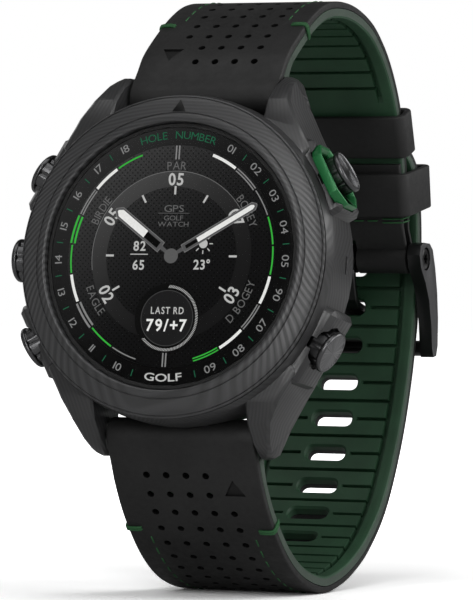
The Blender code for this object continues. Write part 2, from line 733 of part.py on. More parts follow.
# moving group: the parts in it, each with its finish
GROUPS = {
    "case": {
        "case_middle": "carbon", "bezel": "carbon", "crystal": "sapphire",
        "crystal_gasket": "seal", "chapter_ring": "black_gloss", "display_panel": "black_gloss",
        "gps_antenna": "gold", "inner_frame": "black_plastic", "main_board": "board",
        "battery": "foil", "vibration_motor": "steel", "sensor_board": "board",
        "rear_cover": "grey_metal", "rear_screw_1": "steel", "rear_screw_2": "steel",
        "rear_screw_3": "steel", "rear_screw_4": "steel", "rear_gasket": "seal",
        "charge_port": "black_plastic", "sensor_window": "black_gloss",
        "start_button_guard": "guard_green", "lug_bar_upper": "dark_steel",
        "lug_bar_lower": "dark_steel",
    },
    "band": {
        "upper_connector": "dark_steel", "lower_connector": "dark_steel",
        "upper_leather": "leather", "lower_leather": "leather", "upper_rubber": "green_rubber",
        "lower_rubber": "green_rubber", "fixed_keeper": "leather",
    },
    "buckle": {"buckle_frame": "dark_steel", "buckle_bar": "dark_steel",
               "buckle_screw_right": "dark_steel", "buckle_screw_left": "dark_steel"},
    "tongue": {"buckle_tongue": "dark_steel"},
    "keeper": {"free_keeper": "leather"},
    "latch_upper": {"upper_latch": "dark_steel"},
    "latch_lower": {"lower_latch": "dark_steel"},
}
# group that each one hangs on
PARENTS = {"band": "case", "buckle": "band", "tongue": "buckle", "keeper": "band",
           "latch_upper": "band", "latch_lower": "band"}


def group_places():
    """Where each group's empty stands: on the axis that the group turns about or slides along."""
    places = {"case": CASE}
    for group, side in (("latch_upper", 1), ("latch_lower", -1)):
        centre, _, out = lug_frame(side)
        places[group] = strap_place(centre, out)
    places["band"] = strap_place(lug_frame(1)[0], lug_frame(1)[2])
    places["buckle"] = places["tongue"] = BAND @ Matrix.Translation(Vector((*BUCKLE, 0)) * MM)
    point, out, _ = locate(1, 10.6, True)
    places["keeper"] = strap_place(point, out)
    for name, (angle, _) in BUTTONS.items():
        places[f"{name}_button"] = button_place(angle)
    return places


def finish_part(obj, finish, group):
    """Gives a part its material and shading, and hangs it on its group's empty."""
    colour, roughness, metallic = FINISH[finish]
    material = bpy.data.materials.new(f"{obj.name}_{finish}")
    material.use_nodes = True
    shader = material.node_tree.nodes["Principled BSDF"]
    shader.inputs["Base Color"].default_value = (*colour, 1)
    shader.inputs["Roughness"].default_value = roughness
    shader.inputs["Metallic"].default_value = metallic
    if finish == "sapphire":
        shader.inputs["Transmission Weight"].default_value = 1.0
        shader.inputs["IOR"].default_value = 1.77
    obj.data.materials.clear()
    obj.data.materials.append(material)
    obj.data.shade_smooth()
    obj.data.set_sharp_from_angle(angle=math.radians(30))
    bpy.data.collections["cutters"].objects.unlink(obj)
    bpy.data.collections["golf_gps_watch"].objects.link(obj)
    obj.hide_render = False
    obj.display_type = "TEXTURED"
    obj.parent = group
    obj.matrix_parent_inverse = group.matrix_world.inverted()


def assemble():
    """Sorts the parts into moving groups, each under its own empty."""
    groups = dict(GROUPS)
    parents = dict(PARENTS)
    for name in BUTTONS:
        groups["case"] = {**groups["case"], f"button_seal_{name}": "seal",
                          f"button_spring_{name}": "steel"}
        groups[f"{name}_button"] = {f"button_{name}": "cap_metal",
                                    f"button_clip_{name}": "steel"}
        parents[f"{name}_button"] = "case"
    empties = {}
    for group, place in group_places().items():
        empty = bpy.data.objects.new(f"{group}_group", None)
        bpy.data.collections["golf_gps_watch"].objects.link(empty)
        empty.empty_display_size = 5 * MM
        empty.matrix_world = place
        empties[group] = empty
    bpy.context.view_layer.update()
    for group, parent in parents.items():
        empties[group].parent = empties[parent]
        empties[group].matrix_parent_inverse = empties[parent].matrix_world.inverted()
    bpy.context.view_layer.update()
    for group, parts in groups.items():
        for name, finish in parts.items():
            finish_part(bpy.data.objects[name], finish, empties[group])


def main():
    clear_scene()
    make_case_middle()
    make_bezel()
    make_crystal()
    make_display_stack()
    make_antenna()
    make_inner_frame()
    make_electronics()
    make_rear()
    for name, (angle, end) in BUTTONS.items():
        make_button(name, angle, end)
    make_guard()
    for name, side in (("upper", 1), ("lower", -1)):
        make_lug_bar(f"lug_bar_{name}", side)
        make_connector(f"{name}_connector", side)
        make_latch(f"{name}_latch", side)
    make_upper_leather()
    make_upper_rubber()
    make_lower_leather()
    make_lower_rubber()
    make_keepers()
    make_frame()
    make_buckle_bar()
    make_tongue()
    assemble()


main()
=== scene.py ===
"""Looks of the golf GPS watch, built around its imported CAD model.

Lengths are millimetres times MM. Case parts are drawn "on the bench": x to 3 o'clock,
y to 12 o'clock, n out through the glass, n = 0 at the case's top rim. Band parts are drawn
in the (back, up) plane measured from the same rim centre.
"""

import json
import math

import bmesh
import bpy
from mathutils import Matrix, Vector


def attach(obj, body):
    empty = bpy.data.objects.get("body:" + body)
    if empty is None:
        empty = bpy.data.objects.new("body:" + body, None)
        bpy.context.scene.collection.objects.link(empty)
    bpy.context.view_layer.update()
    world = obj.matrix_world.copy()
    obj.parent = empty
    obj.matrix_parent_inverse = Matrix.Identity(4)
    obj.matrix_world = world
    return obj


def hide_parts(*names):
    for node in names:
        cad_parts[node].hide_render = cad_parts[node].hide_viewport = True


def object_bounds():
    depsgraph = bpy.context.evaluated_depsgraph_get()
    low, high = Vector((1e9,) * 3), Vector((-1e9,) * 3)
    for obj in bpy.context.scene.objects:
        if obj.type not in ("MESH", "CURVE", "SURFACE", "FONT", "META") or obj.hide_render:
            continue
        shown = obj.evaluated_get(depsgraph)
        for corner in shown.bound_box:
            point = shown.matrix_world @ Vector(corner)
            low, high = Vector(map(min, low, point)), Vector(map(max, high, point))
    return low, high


MM = 0.001
LEAN = math.radians(8.2)
RIM = Vector((0, -38, 5))
CASE = Matrix.Translation(RIM * MM) @ Matrix.Rotation(math.pi / 2 - LEAN, 4, "X")
BAND = Matrix.Translation(RIM * MM) @ Matrix(((0, 0, 1, 0), (1, 0, 0, 0), (0, 1, 0, 0), (0, 0, 0, 1)))

# case
BEZEL_R = 22.15
DISPLAY_N = 1.1  # top of the display
BUTTON_N = -4.3
BUTTONS = {"start": (29, 26.1), "back": (-29, 25.3), "down": (209, 25.3), "up": (180, 24.9),
           "light": (151, 25.3)}  # direction in degrees, height of the cap's end

# strap
BAR_Y, BAR_N = 23.4, -8.2
BARREL_R = 2.4
HALF_W = 10.85
SKIN = 0.9
CORE = (1.0, 2.4)
BUCKLE = (65.1, 0.7)
PITCH = 6.0
SLOT = (6.1, 2.3)
UPPER = [(14.0, 28.35), (18.5, 31.4), (23.5, 34.2), (28.7, 36.1), (34.6, 36.8), (41, 36.4),
         (47.5, 34.7), (52.3, 32.0), (56.0, 28.8), (59.4, 24.4), (61.6, 19.7), (63.1, 14.8),
         (64.1, 9.6), (64.7, 5.2)]
LOWER = [(5.9, -31.7), (9.4, -36.3), (15.0, -41.4), (21.4, -44.9), (29.4, -46.8),
         (35.4, -46.5), (42, -44.9), (49, -41.7), (56.2, -36.0), (62.4, -27.0),
         (66.6, -17.4), (69.0, -8.4), (70.1, -0.4), (70.2, 4.6), (69.6, 9.4), (67.9, 16.2),
         (67.2, 18.6)]
HOLE_R = 0.47
HOLE_PITCH = 2.92

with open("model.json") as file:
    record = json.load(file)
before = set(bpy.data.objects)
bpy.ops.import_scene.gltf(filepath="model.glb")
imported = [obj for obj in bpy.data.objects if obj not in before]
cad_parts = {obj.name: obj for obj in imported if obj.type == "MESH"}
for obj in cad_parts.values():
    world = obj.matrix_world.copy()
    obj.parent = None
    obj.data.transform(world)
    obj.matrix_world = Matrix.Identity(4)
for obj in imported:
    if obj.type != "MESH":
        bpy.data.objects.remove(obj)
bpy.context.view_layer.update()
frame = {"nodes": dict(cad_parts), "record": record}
bpy.context.scene.view_settings.view_transform = "Standard"


# ---------------------------------------------------------------- material building

def surface(name, colour, roughness, metallic=0.0, **sockets):
    """A Principled material and its node tree; further socket values go by name."""
    material = bpy.data.materials.new(name)
    material.use_nodes = True
    tree = material.node_tree
    shader = tree.nodes["Principled BSDF"]
    shader.inputs["Base Color"].default_value = (*colour, 1)
    shader.inputs["Roughness"].default_value = roughness
    shader.inputs["Metallic"].default_value = metallic
    for key, value in sockets.items():
        shader.inputs[key.replace("_", " ")].default_value = value
    return material, tree, shader


def add(tree, kind, inputs=None, **settings):
    """A node; its inputs are given by name or number, as values or as sockets to link."""
    node = tree.nodes.new("ShaderNode" + kind)
    for key, value in settings.items():
        setattr(node, key, value)
    for key, value in (inputs or {}).items():
        if isinstance(value, bpy.types.NodeSocket):
            tree.links.new(value, node.inputs[key])
        else:
            node.inputs[key].default_value = value
    return node


def calc(tree, operation, *values):
    return add(tree, "Math", dict(enumerate(values)), operation=operation).outputs[0]


def where(tree):
    """Object coordinates in millimetres, whole and split."""
    place = add(tree, "TexCoord").outputs["Object"]
    scaled = add(tree, "VectorMath", {0: place, "Scale": 1 / MM}, operation="SCALE").outputs[0]
    split = add(tree, "SeparateXYZ", {0: scaled})
    return scaled, split.outputs[0], split.outputs[1], split.outputs[2]


def noise(tree, place, scale, detail=2.0, rough=0.5):
    return add(tree, "TexNoise", {"Vector": place, "Scale": scale, "Detail": detail,
                                  "Roughness": rough}).outputs["Fac"]


def ramp(tree, factor, low, high, start=0.0, end=1.0):
    """Blends two colours over a range of a factor."""
    node = add(tree, "ValToRGB", {"Fac": factor})
    node.color_ramp.elements[0].position = start
    node.color_ramp.elements[0].color = (*low, 1)
    node.color_ramp.elements[1].position = end
    node.color_ramp.elements[1].color = (*high, 1)
    return node.outputs["Color"]


def remap(tree, value, low, high, to_low, to_high):
    return add(tree, "MapRange", {0: value, 1: low, 2: high, 3: to_low, 4: to_high}).outputs[0]


def bump(tree, shader, height, strength, distance_mm):
    node = add(tree, "Bump", {"Height": height, "Strength": strength,
                              "Distance": distance_mm * MM})
    tree.links.new(node.outputs[0], shader.inputs["Normal"])


def layered_carbon(name, level, wave, sway_by, low, high, relief, calm=0.0):
    """Pressed carbon sheets: lighter and darker bands where the surface cuts the layers.

    level builds the coordinate whose contours the bands follow; calm weakens them towards
    12 and 6 o'clock.
    """
    material, tree, shader = surface(name, (0.03, 0.03, 0.031), 0.42, Specular_IOR_Level=0.6)
    place, x, y, n = where(tree)
    sway = calc(tree, "MULTIPLY", calc(tree, "SUBTRACT", noise(tree, place, 0.075, 1.0), 0.5),
                sway_by)
    t = calc(tree, "ADD", level(tree, x, y, n), sway)
    broad = calc(tree, "SINE", calc(tree, "MULTIPLY", t, 2 * math.pi / wave))
    fine = calc(tree, "SINE", calc(tree, "MULTIPLY", t, 2 * math.pi / (wave * 0.37)))
    mixed = calc(tree, "ADD", calc(tree, "MULTIPLY", broad, 0.40), calc(tree, "MULTIPLY", fine, 0.08))
    fade = remap(tree, noise(tree, place, 0.16, 1.0), 0.35, 0.65, 0.55, 1.0)
    height = calc(tree, "MULTIPLY", calc(tree, "MULTIPLY", y, y), -calm / BEZEL_R ** 2)
    fade = calc(tree, "MULTIPLY", fade, calc(tree, "ADD", height, 1.0))
    bands = calc(tree, "ADD", calc(tree, "MULTIPLY", mixed, fade), 0.5)
    colour = ramp(tree, bands, (low, low, low * 1.03), (high, high, high * 1.03))
    tree.links.new(colour, shader.inputs["Base Color"])
    rough = remap(tree, bands, 0.0, 1.0, 0.46, 0.28)
    tree.links.new(rough, shader.inputs["Roughness"])
    bump(tree, shader, bands, relief, 0.05)
    return material


def leather(name="black_leather", shade=0.0115, gloss=0.42):
    """Fine-grained calf leather: small pebbles with creases between them."""
    material, tree, shader = surface(name, (shade,) * 3, 0.6, Specular_IOR_Level=gloss)
    place = where(tree)[0]
    pebbles = add(tree, "TexVoronoi", {"Vector": place, "Scale": 2.6, "Randomness": 1.0},
                  feature="F1").outputs["Distance"]
    soft = noise(tree, place, 1.1, 3.0)
    patches = noise(tree, place, 0.12, 2.0)
    colour = ramp(tree, patches, (shade * 0.8,) * 3, (shade * 1.35,) * 3, 0.3, 0.7)
    tree.links.new(colour, shader.inputs["Base Color"])
    tree.links.new(remap(tree, soft, 0.3, 0.7, 0.50, 0.66), shader.inputs["Roughness"])
    height = calc(tree, "ADD", calc(tree, "MULTIPLY", pebbles, 0.6), soft)
    bump(tree, shader, height, 0.32, 0.06)
    return material


def rubber(name, colour, roughness=0.55, grain=0.18):
    """Moulded rubber with a faint mould texture and soft mottling."""
    material, tree, shader = surface(name, colour, roughness, Specular_IOR_Level=0.4)
    place = where(tree)[0]
    mottle = noise(tree, place, 0.2, 2.0)
    dark = tuple(c * 0.85 for c in colour)
    light = tuple(c * 1.15 for c in colour)
    tree.links.new(ramp(tree, mottle, dark, light, 0.3, 0.7), shader.inputs["Base Color"])
    tree.links.new(remap(tree, noise(tree, place, 5.0, 1.0), 0.3, 0.7, roughness - 0.06,
                         roughness + 0.06), shader.inputs["Roughness"])
    bump(tree, shader, noise(tree, place, 7.0, 2.0), grain, 0.03)
    return material


def brushed(name, colour, roughness, along="x", metallic=1.0, stretch=14.0):
    """Metal brushed along one axis, with edges that vary a little in gloss."""
    material, tree, shader = surface(name, colour, roughness, metallic)
    place = where(tree)[0]
    scale = {"x": (1 / stretch, 1, 1), "y": (1, 1 / stretch, 1), "z": (1, 1, 1 / stretch)}[along]
    lines = add(tree, "Mapping", {"Vector": place, "Scale": scale}).outputs[0]
    hair = noise(tree, lines, 12.0, 2.0)
    dark = tuple(c * 0.88 for c in colour)
    light = tuple(min(1, c * 1.12) for c in colour)
    tree.links.new(ramp(tree, hair, dark, light, 0.3, 0.7), shader.inputs["Base Color"])
    tree.links.new(remap(tree, hair, 0.3, 0.7, roughness - 0.03, roughness + 0.05),
                   shader.inputs["Roughness"])
    bump(tree, shader, hair, 0.03, 0.01)
    return material


def sunburst():
    """Turned metal end face: hairlines run out from the centre."""
    material, tree, shader = surface("sunburst_metal", (0.30, 0.30, 0.305), 0.32, 1.0,
                                     Anisotropic=0.75)
    x, y = where(tree)[1:3]
    angle = calc(tree, "ARCTAN2", y, x)
    ray = add(tree, "CombineXYZ", {0: calc(tree, "COSINE", angle), 1: calc(tree, "SINE", angle)})
    hair = noise(tree, ray.outputs[0], 9.0, 4.0, 0.7)
    tree.links.new(ramp(tree, hair, (0.07, 0.07, 0.072), (0.36, 0.36, 0.37), 0.3, 0.7),
                   shader.inputs["Base Color"])
    tree.links.new(remap(tree, hair, 0.3, 0.7, 0.26, 0.40), shader.inputs["Roughness"])
    tangent = add(tree, "Tangent", direction_type="RADIAL", axis="Z")
    tree.links.new(tangent.outputs[0], shader.inputs["Tangent"])
    return material


def anodised(name, colour, roughness=0.35):
    material, tree, shader = surface(name, colour, roughness, 0.35, Coat_Weight=0.3,
                                     Coat_Roughness=0.25)
    grain = noise(tree, where(tree)[0], 9.0, 2.0)
    dark = tuple(c * 0.85 for c in colour)
    tree.links.new(ramp(tree, grain, dark, tuple(c * 1.12 for c in colour), 0.3, 0.7),
                   shader.inputs["Base Color"])
    bump(tree, shader, grain, 0.06, 0.02)
    return material


def painted_reflection(tree, shader, x, y, level, pattern=None):
    """A painted reflection in the display's glow: lighter towards the upper left, near black at the
    lower right.
    """
    slope = calc(tree, "ADD", calc(tree, "MULTIPLY", x, -0.55 / 30),
                 calc(tree, "MULTIPLY", y, 0.8 / 30))
    lift = calc(tree, "MAXIMUM", calc(tree, "ADD", slope, 0.5), 0.0)
    glow = calc(tree, "ADD", calc(tree, "MULTIPLY", calc(tree, "POWER", lift, 3.0), level), 0.001)
    if pattern is not None:
        glow = calc(tree, "MULTIPLY", glow, pattern)
    shade = add(tree, "CombineXYZ", {0: glow, 1: glow, 2: glow}).outputs[0]
    tree.links.new(shade, shader.inputs["Emission Color"])
    shader.inputs["Emission Strength"].default_value = 1.0


def dial_back():
    """The display's background: a staggered grid of small dark dots."""
    material, tree, shader = surface("display_background", (0.005,) * 3, 0.5,
                                     Specular_IOR_Level=0.02)
    x, y = where(tree)[1:3]
    half = 0.38
    turned_u = calc(tree, "MULTIPLY", calc(tree, "ADD", x, y), 1 / (2 * half))
    turned_v = calc(tree, "MULTIPLY", calc(tree, "SUBTRACT", x, y), 1 / (2 * half))
    du = calc(tree, "SUBTRACT", calc(tree, "FRACT", calc(tree, "ADD", turned_u, 100.0)), 0.5)
    dv = calc(tree, "SUBTRACT", calc(tree, "FRACT", calc(tree, "ADD", turned_v, 100.0)), 0.5)
    away = calc(tree, "SQRT", calc(tree, "ADD", calc(tree, "MULTIPLY", du, du),
                                   calc(tree, "MULTIPLY", dv, dv)))
    dots = remap(tree, away, 0.15, 0.27, 0.0, 1.0)
    tree.links.new(ramp(tree, dots, (0.001,) * 3, (0.005, 0.005, 0.0052)),
                   shader.inputs["Base Color"])
    tree.links.new(remap(tree, dots, 0.0, 1.0, 0.8, 0.5), shader.inputs["Roughness"])
    # painted reflection: the background glows lighter towards the upper left, dimmer over the dots
    painted_reflection(tree, shader, x, y, 0.040, remap(tree, dots, 0.0, 1.0, 0.35, 1.0))
    return material


def display_dark(name, shade, roughness, relief, level):
    """An unlit face of the display or its ring, under a painted reflection that glows lighter towards
    the upper left.
    """
    material, tree, shader = surface(name, (shade,) * 3, roughness, Specular_IOR_Level=0.02)
    place, x, y = where(tree)[:3]
    bump(tree, shader, noise(tree, place, 6.0), relief, 0.02)
    # painted reflection: glow lighter towards the upper left, near black at the lower right
    painted_reflection(tree, shader, x, y, level)
    return material


def lit(name, colour, strength, base=(0.006, 0.006, 0.006)):
    """A lit part of the display, with the faint unevenness of its pixels."""
    material, tree, shader = surface(name, base, 0.5, Specular_IOR_Level=0.02)
    uneven = noise(tree, where(tree)[0], 3.0, 1.0)
    dark = tuple(c * 0.93 for c in colour)
    tree.links.new(ramp(tree, uneven, dark, colour, 0.3, 0.7), shader.inputs["Emission Color"])
    shader.inputs["Emission Strength"].default_value = strength
    return material


# ---------------------------------------------------------------- shape building

def linked(name, data):
    obj = bpy.data.objects.new(name, data)
    bpy.context.scene.collection.objects.link(obj)
    return obj


def sharpen(mesh, angle):
    """Smooth shading, with edges steeper than an angle left sharp."""
    mesh.shade_smooth()
    mesh.set_sharp_from_angle(angle=math.radians(angle))


def put(name, mesh, place, *materials, angle=32):
    obj = linked(name, mesh)
    obj.matrix_world = place
    for material in materials:
        mesh.materials.append(material)
    if angle:
        sharpen(mesh, angle)
    return obj


def tidy(mesh, weld=0.0, flat=False):
    shape = bmesh.new()
    shape.from_mesh(mesh)
    if weld:
        bmesh.ops.remove_doubles(shape, verts=shape.verts, dist=weld)
    if flat:
        bmesh.ops.dissolve_limit(shape, angle_limit=2e-3, verts=shape.verts, edges=shape.edges)
    bmesh.ops.recalc_face_normals(shape, faces=shape.faces)
    shape.to_mesh(mesh)
    shape.free()
    return mesh


def evaluated_mesh(obj):
    bpy.context.view_layer.update()
    graph = bpy.context.evaluated_depsgraph_get()
    return bpy.data.meshes.new_from_object(obj.evaluated_get(graph))


def bake(obj):
    mesh = evaluated_mesh(obj)
    obj.modifiers.clear()
    obj.data = mesh
    return obj


def turned(name, profile, steps, place, *materials, angle=32):
    """A (radius, height) profile turned about the height axis."""
    points = [(r * MM, 0, h * MM) for r, h in profile]
    edges = [(k, k + 1) for k in range(len(points) - 1)]
    if profile[0][0] > 0:
        edges.append((len(points) - 1, 0))
    mesh = bpy.data.meshes.new(name)
    mesh.from_pydata(points, edges, [])
    obj = put(name, mesh, place, angle=0)
    turn = obj.modifiers.new("turn", "SCREW")
    turn.axis = "Z"
    turn.steps = turn.render_steps = steps
    turn.use_merge_vertices = True
    turn.merge_threshold = 1e-6
    bake(obj)
    mesh = tidy(obj.data)
    bpy.data.objects.remove(obj, do_unlink=True)
    return put(name, mesh, place, *materials, angle=angle)


def loft(name, rings, place, *materials, closed=False, angle=32, edge_columns=()):
    """Rings of equal point counts joined in order; listed columns take the second material."""
    count = len(rings[0])
    points = [[c * MM for c in p] for ring in rings for p in ring]
    faces, slots = [], []
    last = len(rings) if closed else len(rings) - 1
    for k in range(last):
        one, two = k * count, (k + 1) % len(rings) * count
        for i in range(count):
            j = (i + 1) % count
            faces.append([one + i, one + j, two + j, two + i])
            slots.append(1 if i in edge_columns else 0)
    if not closed:
        faces += [list(range(count)), list(range((len(rings) - 1) * count, len(points)))]
        slots += [0, 0]
    mesh = bpy.data.meshes.new(name)
    mesh.from_pydata(points, [], faces)
    mesh.polygons.foreach_set("material_index", slots)
    return put(name, tidy(mesh), place, *materials, angle=angle)


def prism(name, outlines, low, high, place, *materials, angle=32, edge=0.0):
    """Closed outlines as a filled 2D curve, extruded between two heights; inner ones are holes."""
    curve = bpy.data.curves.new(name, "CURVE")
    curve.dimensions = "2D"
    curve.fill_mode = "BOTH"
    curve.extrude = (high - low) / 2 * MM
    for points in outlines:
        line = curve.splines.new("POLY")
        line.points.add(len(points) - 1)
        for corner, (a, b) in zip(line.points, points):
            corner.co = (a * MM, b * MM, 0, 1)
        line.use_cyclic_u = True
    place = place @ Matrix.Translation(Vector((0, 0, (low + high) / 2)) * MM)
    mesh = tidy(bake_curve(linked(name, curve)), weld=2e-6, flat=True)
    if edge:
        obj = put(name, mesh, place, angle=0)
        rounding(obj, edge, 2)
        mesh = obj.data
        bpy.data.objects.remove(obj, do_unlink=True)
    return put(name, mesh, place, *materials, angle=angle)


def bake_curve(shape):
    mesh = evaluated_mesh(shape)
    curve = shape.data
    bpy.data.objects.remove(shape, do_unlink=True)
    bpy.data.curves.remove(curve)
    return mesh


def threads(name, runs, radius, place, material):
    """Round threads through lists of points, as one piece."""
    curve = bpy.data.curves.new(name, "CURVE")
    curve.dimensions = "3D"
    curve.bevel_depth = radius * MM
    curve.bevel_resolution = 2
    curve.use_fill_caps = True
    for points in runs:
        line = curve.splines.new("POLY")
        line.points.add(len(points) - 1)
        for k, (corner, point) in enumerate(zip(line.points, points)):
            corner.co = (*(c * MM for c in point), 1)
            corner.radius = 0.55 if k in (0, len(points) - 1) else 1.0
    mesh = tidy(bake_curve(linked(name, curve)), weld=2e-6)
    return put(name, mesh, place, material, angle=60)


def combine(obj, others, operation):
    for other in others:
        step = obj.modifiers.new("b", "BOOLEAN")
        step.operation = operation
        step.solver = "EXACT"
        step.material_mode = "TRANSFER"
        step.object = other
        bake(obj)
        bpy.data.objects.remove(other, do_unlink=True)
    return obj


def joined(objects):
    """Several separate shapes as one, with their places and materials kept."""
    shape, materials = bmesh.new(), []
    for obj in objects:
        mesh = obj.data
        mesh.transform(obj.matrix_world)
        material = mesh.materials[0]
        if material not in materials:
            materials.append(material)
        before = len(shape.faces)
        shape.from_mesh(mesh)
        shape.faces.ensure_lookup_table()
        for face in shape.faces[before:]:
            face.material_index = materials.index(material)
        bpy.data.objects.remove(obj, do_unlink=True)
    mesh = bpy.data.meshes.new("joined")
    shape.to_mesh(mesh)
    shape.free()
    return put("joined", mesh, Matrix.Identity(4), *materials, angle=0)


def rounding(obj, width, segments=2, angle=30):
    edge = obj.modifiers.new("rounding", "BEVEL")
    edge.width = width * MM
    edge.segments = segments
    edge.limit_method = "ANGLE"
    edge.angle_limit = math.radians(angle)
    edge.use_clamp_overlap = True
    edge.harden_normals = False
    return bake(obj)


def from_node(node, place, edge, segments, *materials, angle=32):
    """A rounded copy of a CAD part, in the axes of a place."""
    mesh = frame["nodes"][node].data.copy()
    mesh.materials.clear()
    mesh.transform(place.inverted())
    tidy(mesh, weld=2e-6, flat=True)
    obj = put(f"{node}_finished", mesh, place, angle=0)
    if edge:
        rounding(obj, edge, segments)
    mesh = obj.data
    bpy.data.objects.remove(obj, do_unlink=True)
    return put(f"{node}_finished", mesh, place, *materials, angle=angle)


def rounded(width, depth, radius, segments=4):
    out = []
    for cx, cy, start in ((1, 1, 0), (-1, 1, 90), (-1, -1, 180), (1, -1, 270)):
        for k in range(segments + 1):
            angle = math.radians(start + 90 * k / segments)
            out.append((cx * (width / 2 - radius) + radius * math.cos(angle),
                        cy * (depth / 2 - radius) + radius * math.sin(angle)))
    return out


def wear(obj, body, *nodes, slot=None):
    """Hangs a piece on a body and hides the CAD nodes it stands in for; slot is not used."""
    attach(obj, body)
    if nodes:
        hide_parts(*nodes)
    return obj


# ---------------------------------------------------------------- the band's line

def smooth(points, step):
    """Evenly spaced points on a smooth curve through the given ones."""
    fine = []
    ends = [points[0]] + list(points) + [points[-1]]
    for k in range(1, len(ends) - 2):
        a, b, c, d = (Vector(ends[i]) for i in range(k - 1, k + 3))
        for i in range(20):
            t = i / 20
            fine.append(0.5 * (2 * b + (c - a) * t + (2 * a - 5 * b + 4 * c - d) * t * t
                               + (3 * b - a - 3 * c + d) * t ** 3))
    fine.append(Vector(points[-1]))
    lengths = [0.0]
    for one, two in zip(fine, fine[1:]):
        lengths.append(lengths[-1] + (two - one).length)
    count = max(2, round(lengths[-1] / step))
    out, k = [], 0
    for i in range(count + 1):
        wanted = lengths[-1] * i / count
        while k < len(fine) - 2 and lengths[k + 1] < wanted:
            k += 1
        part = (wanted - lengths[k]) / max(1e-9, lengths[k + 1] - lengths[k])
        out.append(fine[k].lerp(fine[k + 1], min(1.0, max(0.0, part))))
    return out


def bench_to_side(y, n):
    return Vector((y * math.sin(LEAN) - n * math.cos(LEAN), y * math.cos(LEAN) + n * math.sin(LEAN)))


def lug_frame(side):
    centre = bench_to_side(side * BAR_Y, BAR_N)
    zero = bench_to_side(0, 0)
    along = bench_to_side(side * 0.817, -0.577) - zero
    out = bench_to_side(side * 0.577, 0.817) - zero
    return centre, along, out


class Line:
    """The outer face of one strap half, read by the length from its lug end."""

    def __init__(self, side):
        self.side = side
        centre, along, out = lug_frame(side)
        given = [tuple(centre + a * along + BARREL_R * out) for a in (0, 3)]
        given += UPPER if side > 0 else LOWER
        self.points = smooth(given, 0.25)
        self.step = (self.points[1] - self.points[0]).length
        self.length = self.step * (len(self.points) - 1)

    def at(self, length):
        """Point and unit normal at a length."""
        k = min(len(self.points) - 2, max(0, int(length / self.step)))
        part = length / self.step - k
        point = self.points[k].lerp(self.points[k + 1], part)
        low, high = max(0, k - 4), min(len(self.points) - 1, k + 5)
        run = (self.points[high] - self.points[low]).normalized()
        return point, Vector((-run.y, run.x)) * self.side

    def where_up(self, height):
        """The length at which the back part of the line passes a height."""
        found = [k for k, p in enumerate(self.points) if p.x > 45]
        best = min(found, key=lambda k: abs(self.points[k].y - height))
        return best * self.step

    def deep(self, length, depth, x):
        """A point below the outer face, as band coordinates."""
        point, out = self.at(length)
        return (*(point - out * depth), x)


LINE = {1: Line(1), -1: Line(-1)}


def strap_place(point, out):
    """Axes at a point of a strap: across it, along it, and out of its face."""
    run = Vector((out.y, -out.x))
    axes = Matrix(((0, run.x, out.x, point.x * MM), (0, run.y, out.y, point.y * MM),
                   (1, 0, 0, 0), (0, 0, 0, 1)))
    return BAND @ axes


# ---------------------------------------------------------------- case

def bezel_level(tree, x, y, n):
    """Contours that run round the bezel and cross it at a slant on both sides."""
    radius = calc(tree, "SQRT", calc(tree, "ADD", calc(tree, "MULTIPLY", x, x),
                                     calc(tree, "MULTIPLY", y, y)))
    return calc(tree, "ADD", radius, calc(tree, "MULTIPLY", y, 0.72))


def case_level(tree, x, y, n):
    """Contours that follow the lugs."""
    across = calc(tree, "ABSOLUTE", x)
    along = calc(tree, "MULTIPLY", calc(tree, "ABSOLUTE", y), 0.5)
    return calc(tree, "ADD", calc(tree, "ADD", across, along), calc(tree, "MULTIPLY", n, 0.55))


def make_case():
    bezel_carbon = layered_carbon("bezel_carbon", bezel_level, 0.8, 3.2, 0.008, 0.078, 0.35, 0.72)
    case_carbon = layered_carbon("case_carbon", case_level, 0.55, 2.5, 0.021, 0.042, 0.10)
    profile = [(17.65, -0.25), (21.5, -0.25), (21.5, 0.7), (22.0, 0.7), (22.12, 0.76),
               (BEZEL_R, 0.84), (BEZEL_R, 0.93), (22.12, 1.0), (22.0, 1.06), (21.93, 1.085),
               (21.89, 0.95), (21.79, 0.95), (21.75, 1.13), (21.70, 1.155), (21.0, 1.36),
               (20.2, 1.59), (19.66, 1.74), (19.62, 1.60), (19.50, 1.60), (19.46, 1.76),
               (19.40, 1.79), (19.2, 1.87), (18.95, 1.94),
               (18.7, 1.965), (18.5, 1.93), (18.38, 1.82), (18.35, 1.7), (18.35, 0.4), (17.65, 0.4)]
    wear(turned("bezel_finished", profile, 220, CASE, bezel_carbon, angle=50), "case", "bezel")
    case = from_node("case_middle", CASE, 0.16, 2, case_carbon, angle=20)
    wear(case, "case", "case_middle")
    make_marker()
    guard = from_node("start_button_guard", button_place(29), 0.22, 3,
                      anodised("guard_green", (0.012, 0.17, 0.045)))
    wear(guard, "case", "start_button_guard")


def make_marker():
    """The raised triangle at 12 o'clock, lying on the bezel's slope."""
    tilt = math.atan2(1.755 - 1.155, 21.70 - 19.60)
    place = (CASE @ Matrix.Translation(Vector((0, 20.55, 1.485)) * MM)
             @ Matrix.Rotation(-tilt, 4, "X"))
    dark, tree, shader = surface("marker_black", (0.004,) * 3, 0.35, Specular_IOR_Level=0.3)
    bump(tree, shader, noise(tree, where(tree)[0], 8.0), 0.05, 0.02)
    marker = prism("bezel_marker", [[(-0.98, -0.82), (0.98, -0.82), (0.0, 0.98)]], -0.1, 0.08, place,
                   dark, edge=0.04)
    wear(marker, "case", slot="bezel_carbon")


def button_place(angle):
    return (CASE @ Matrix.Translation(Vector((0, 0, BUTTON_N)) * MM)
            @ Matrix.Rotation(math.radians(angle), 4, "Z") @ Matrix.Rotation(math.pi / 2, 4, "Y"))


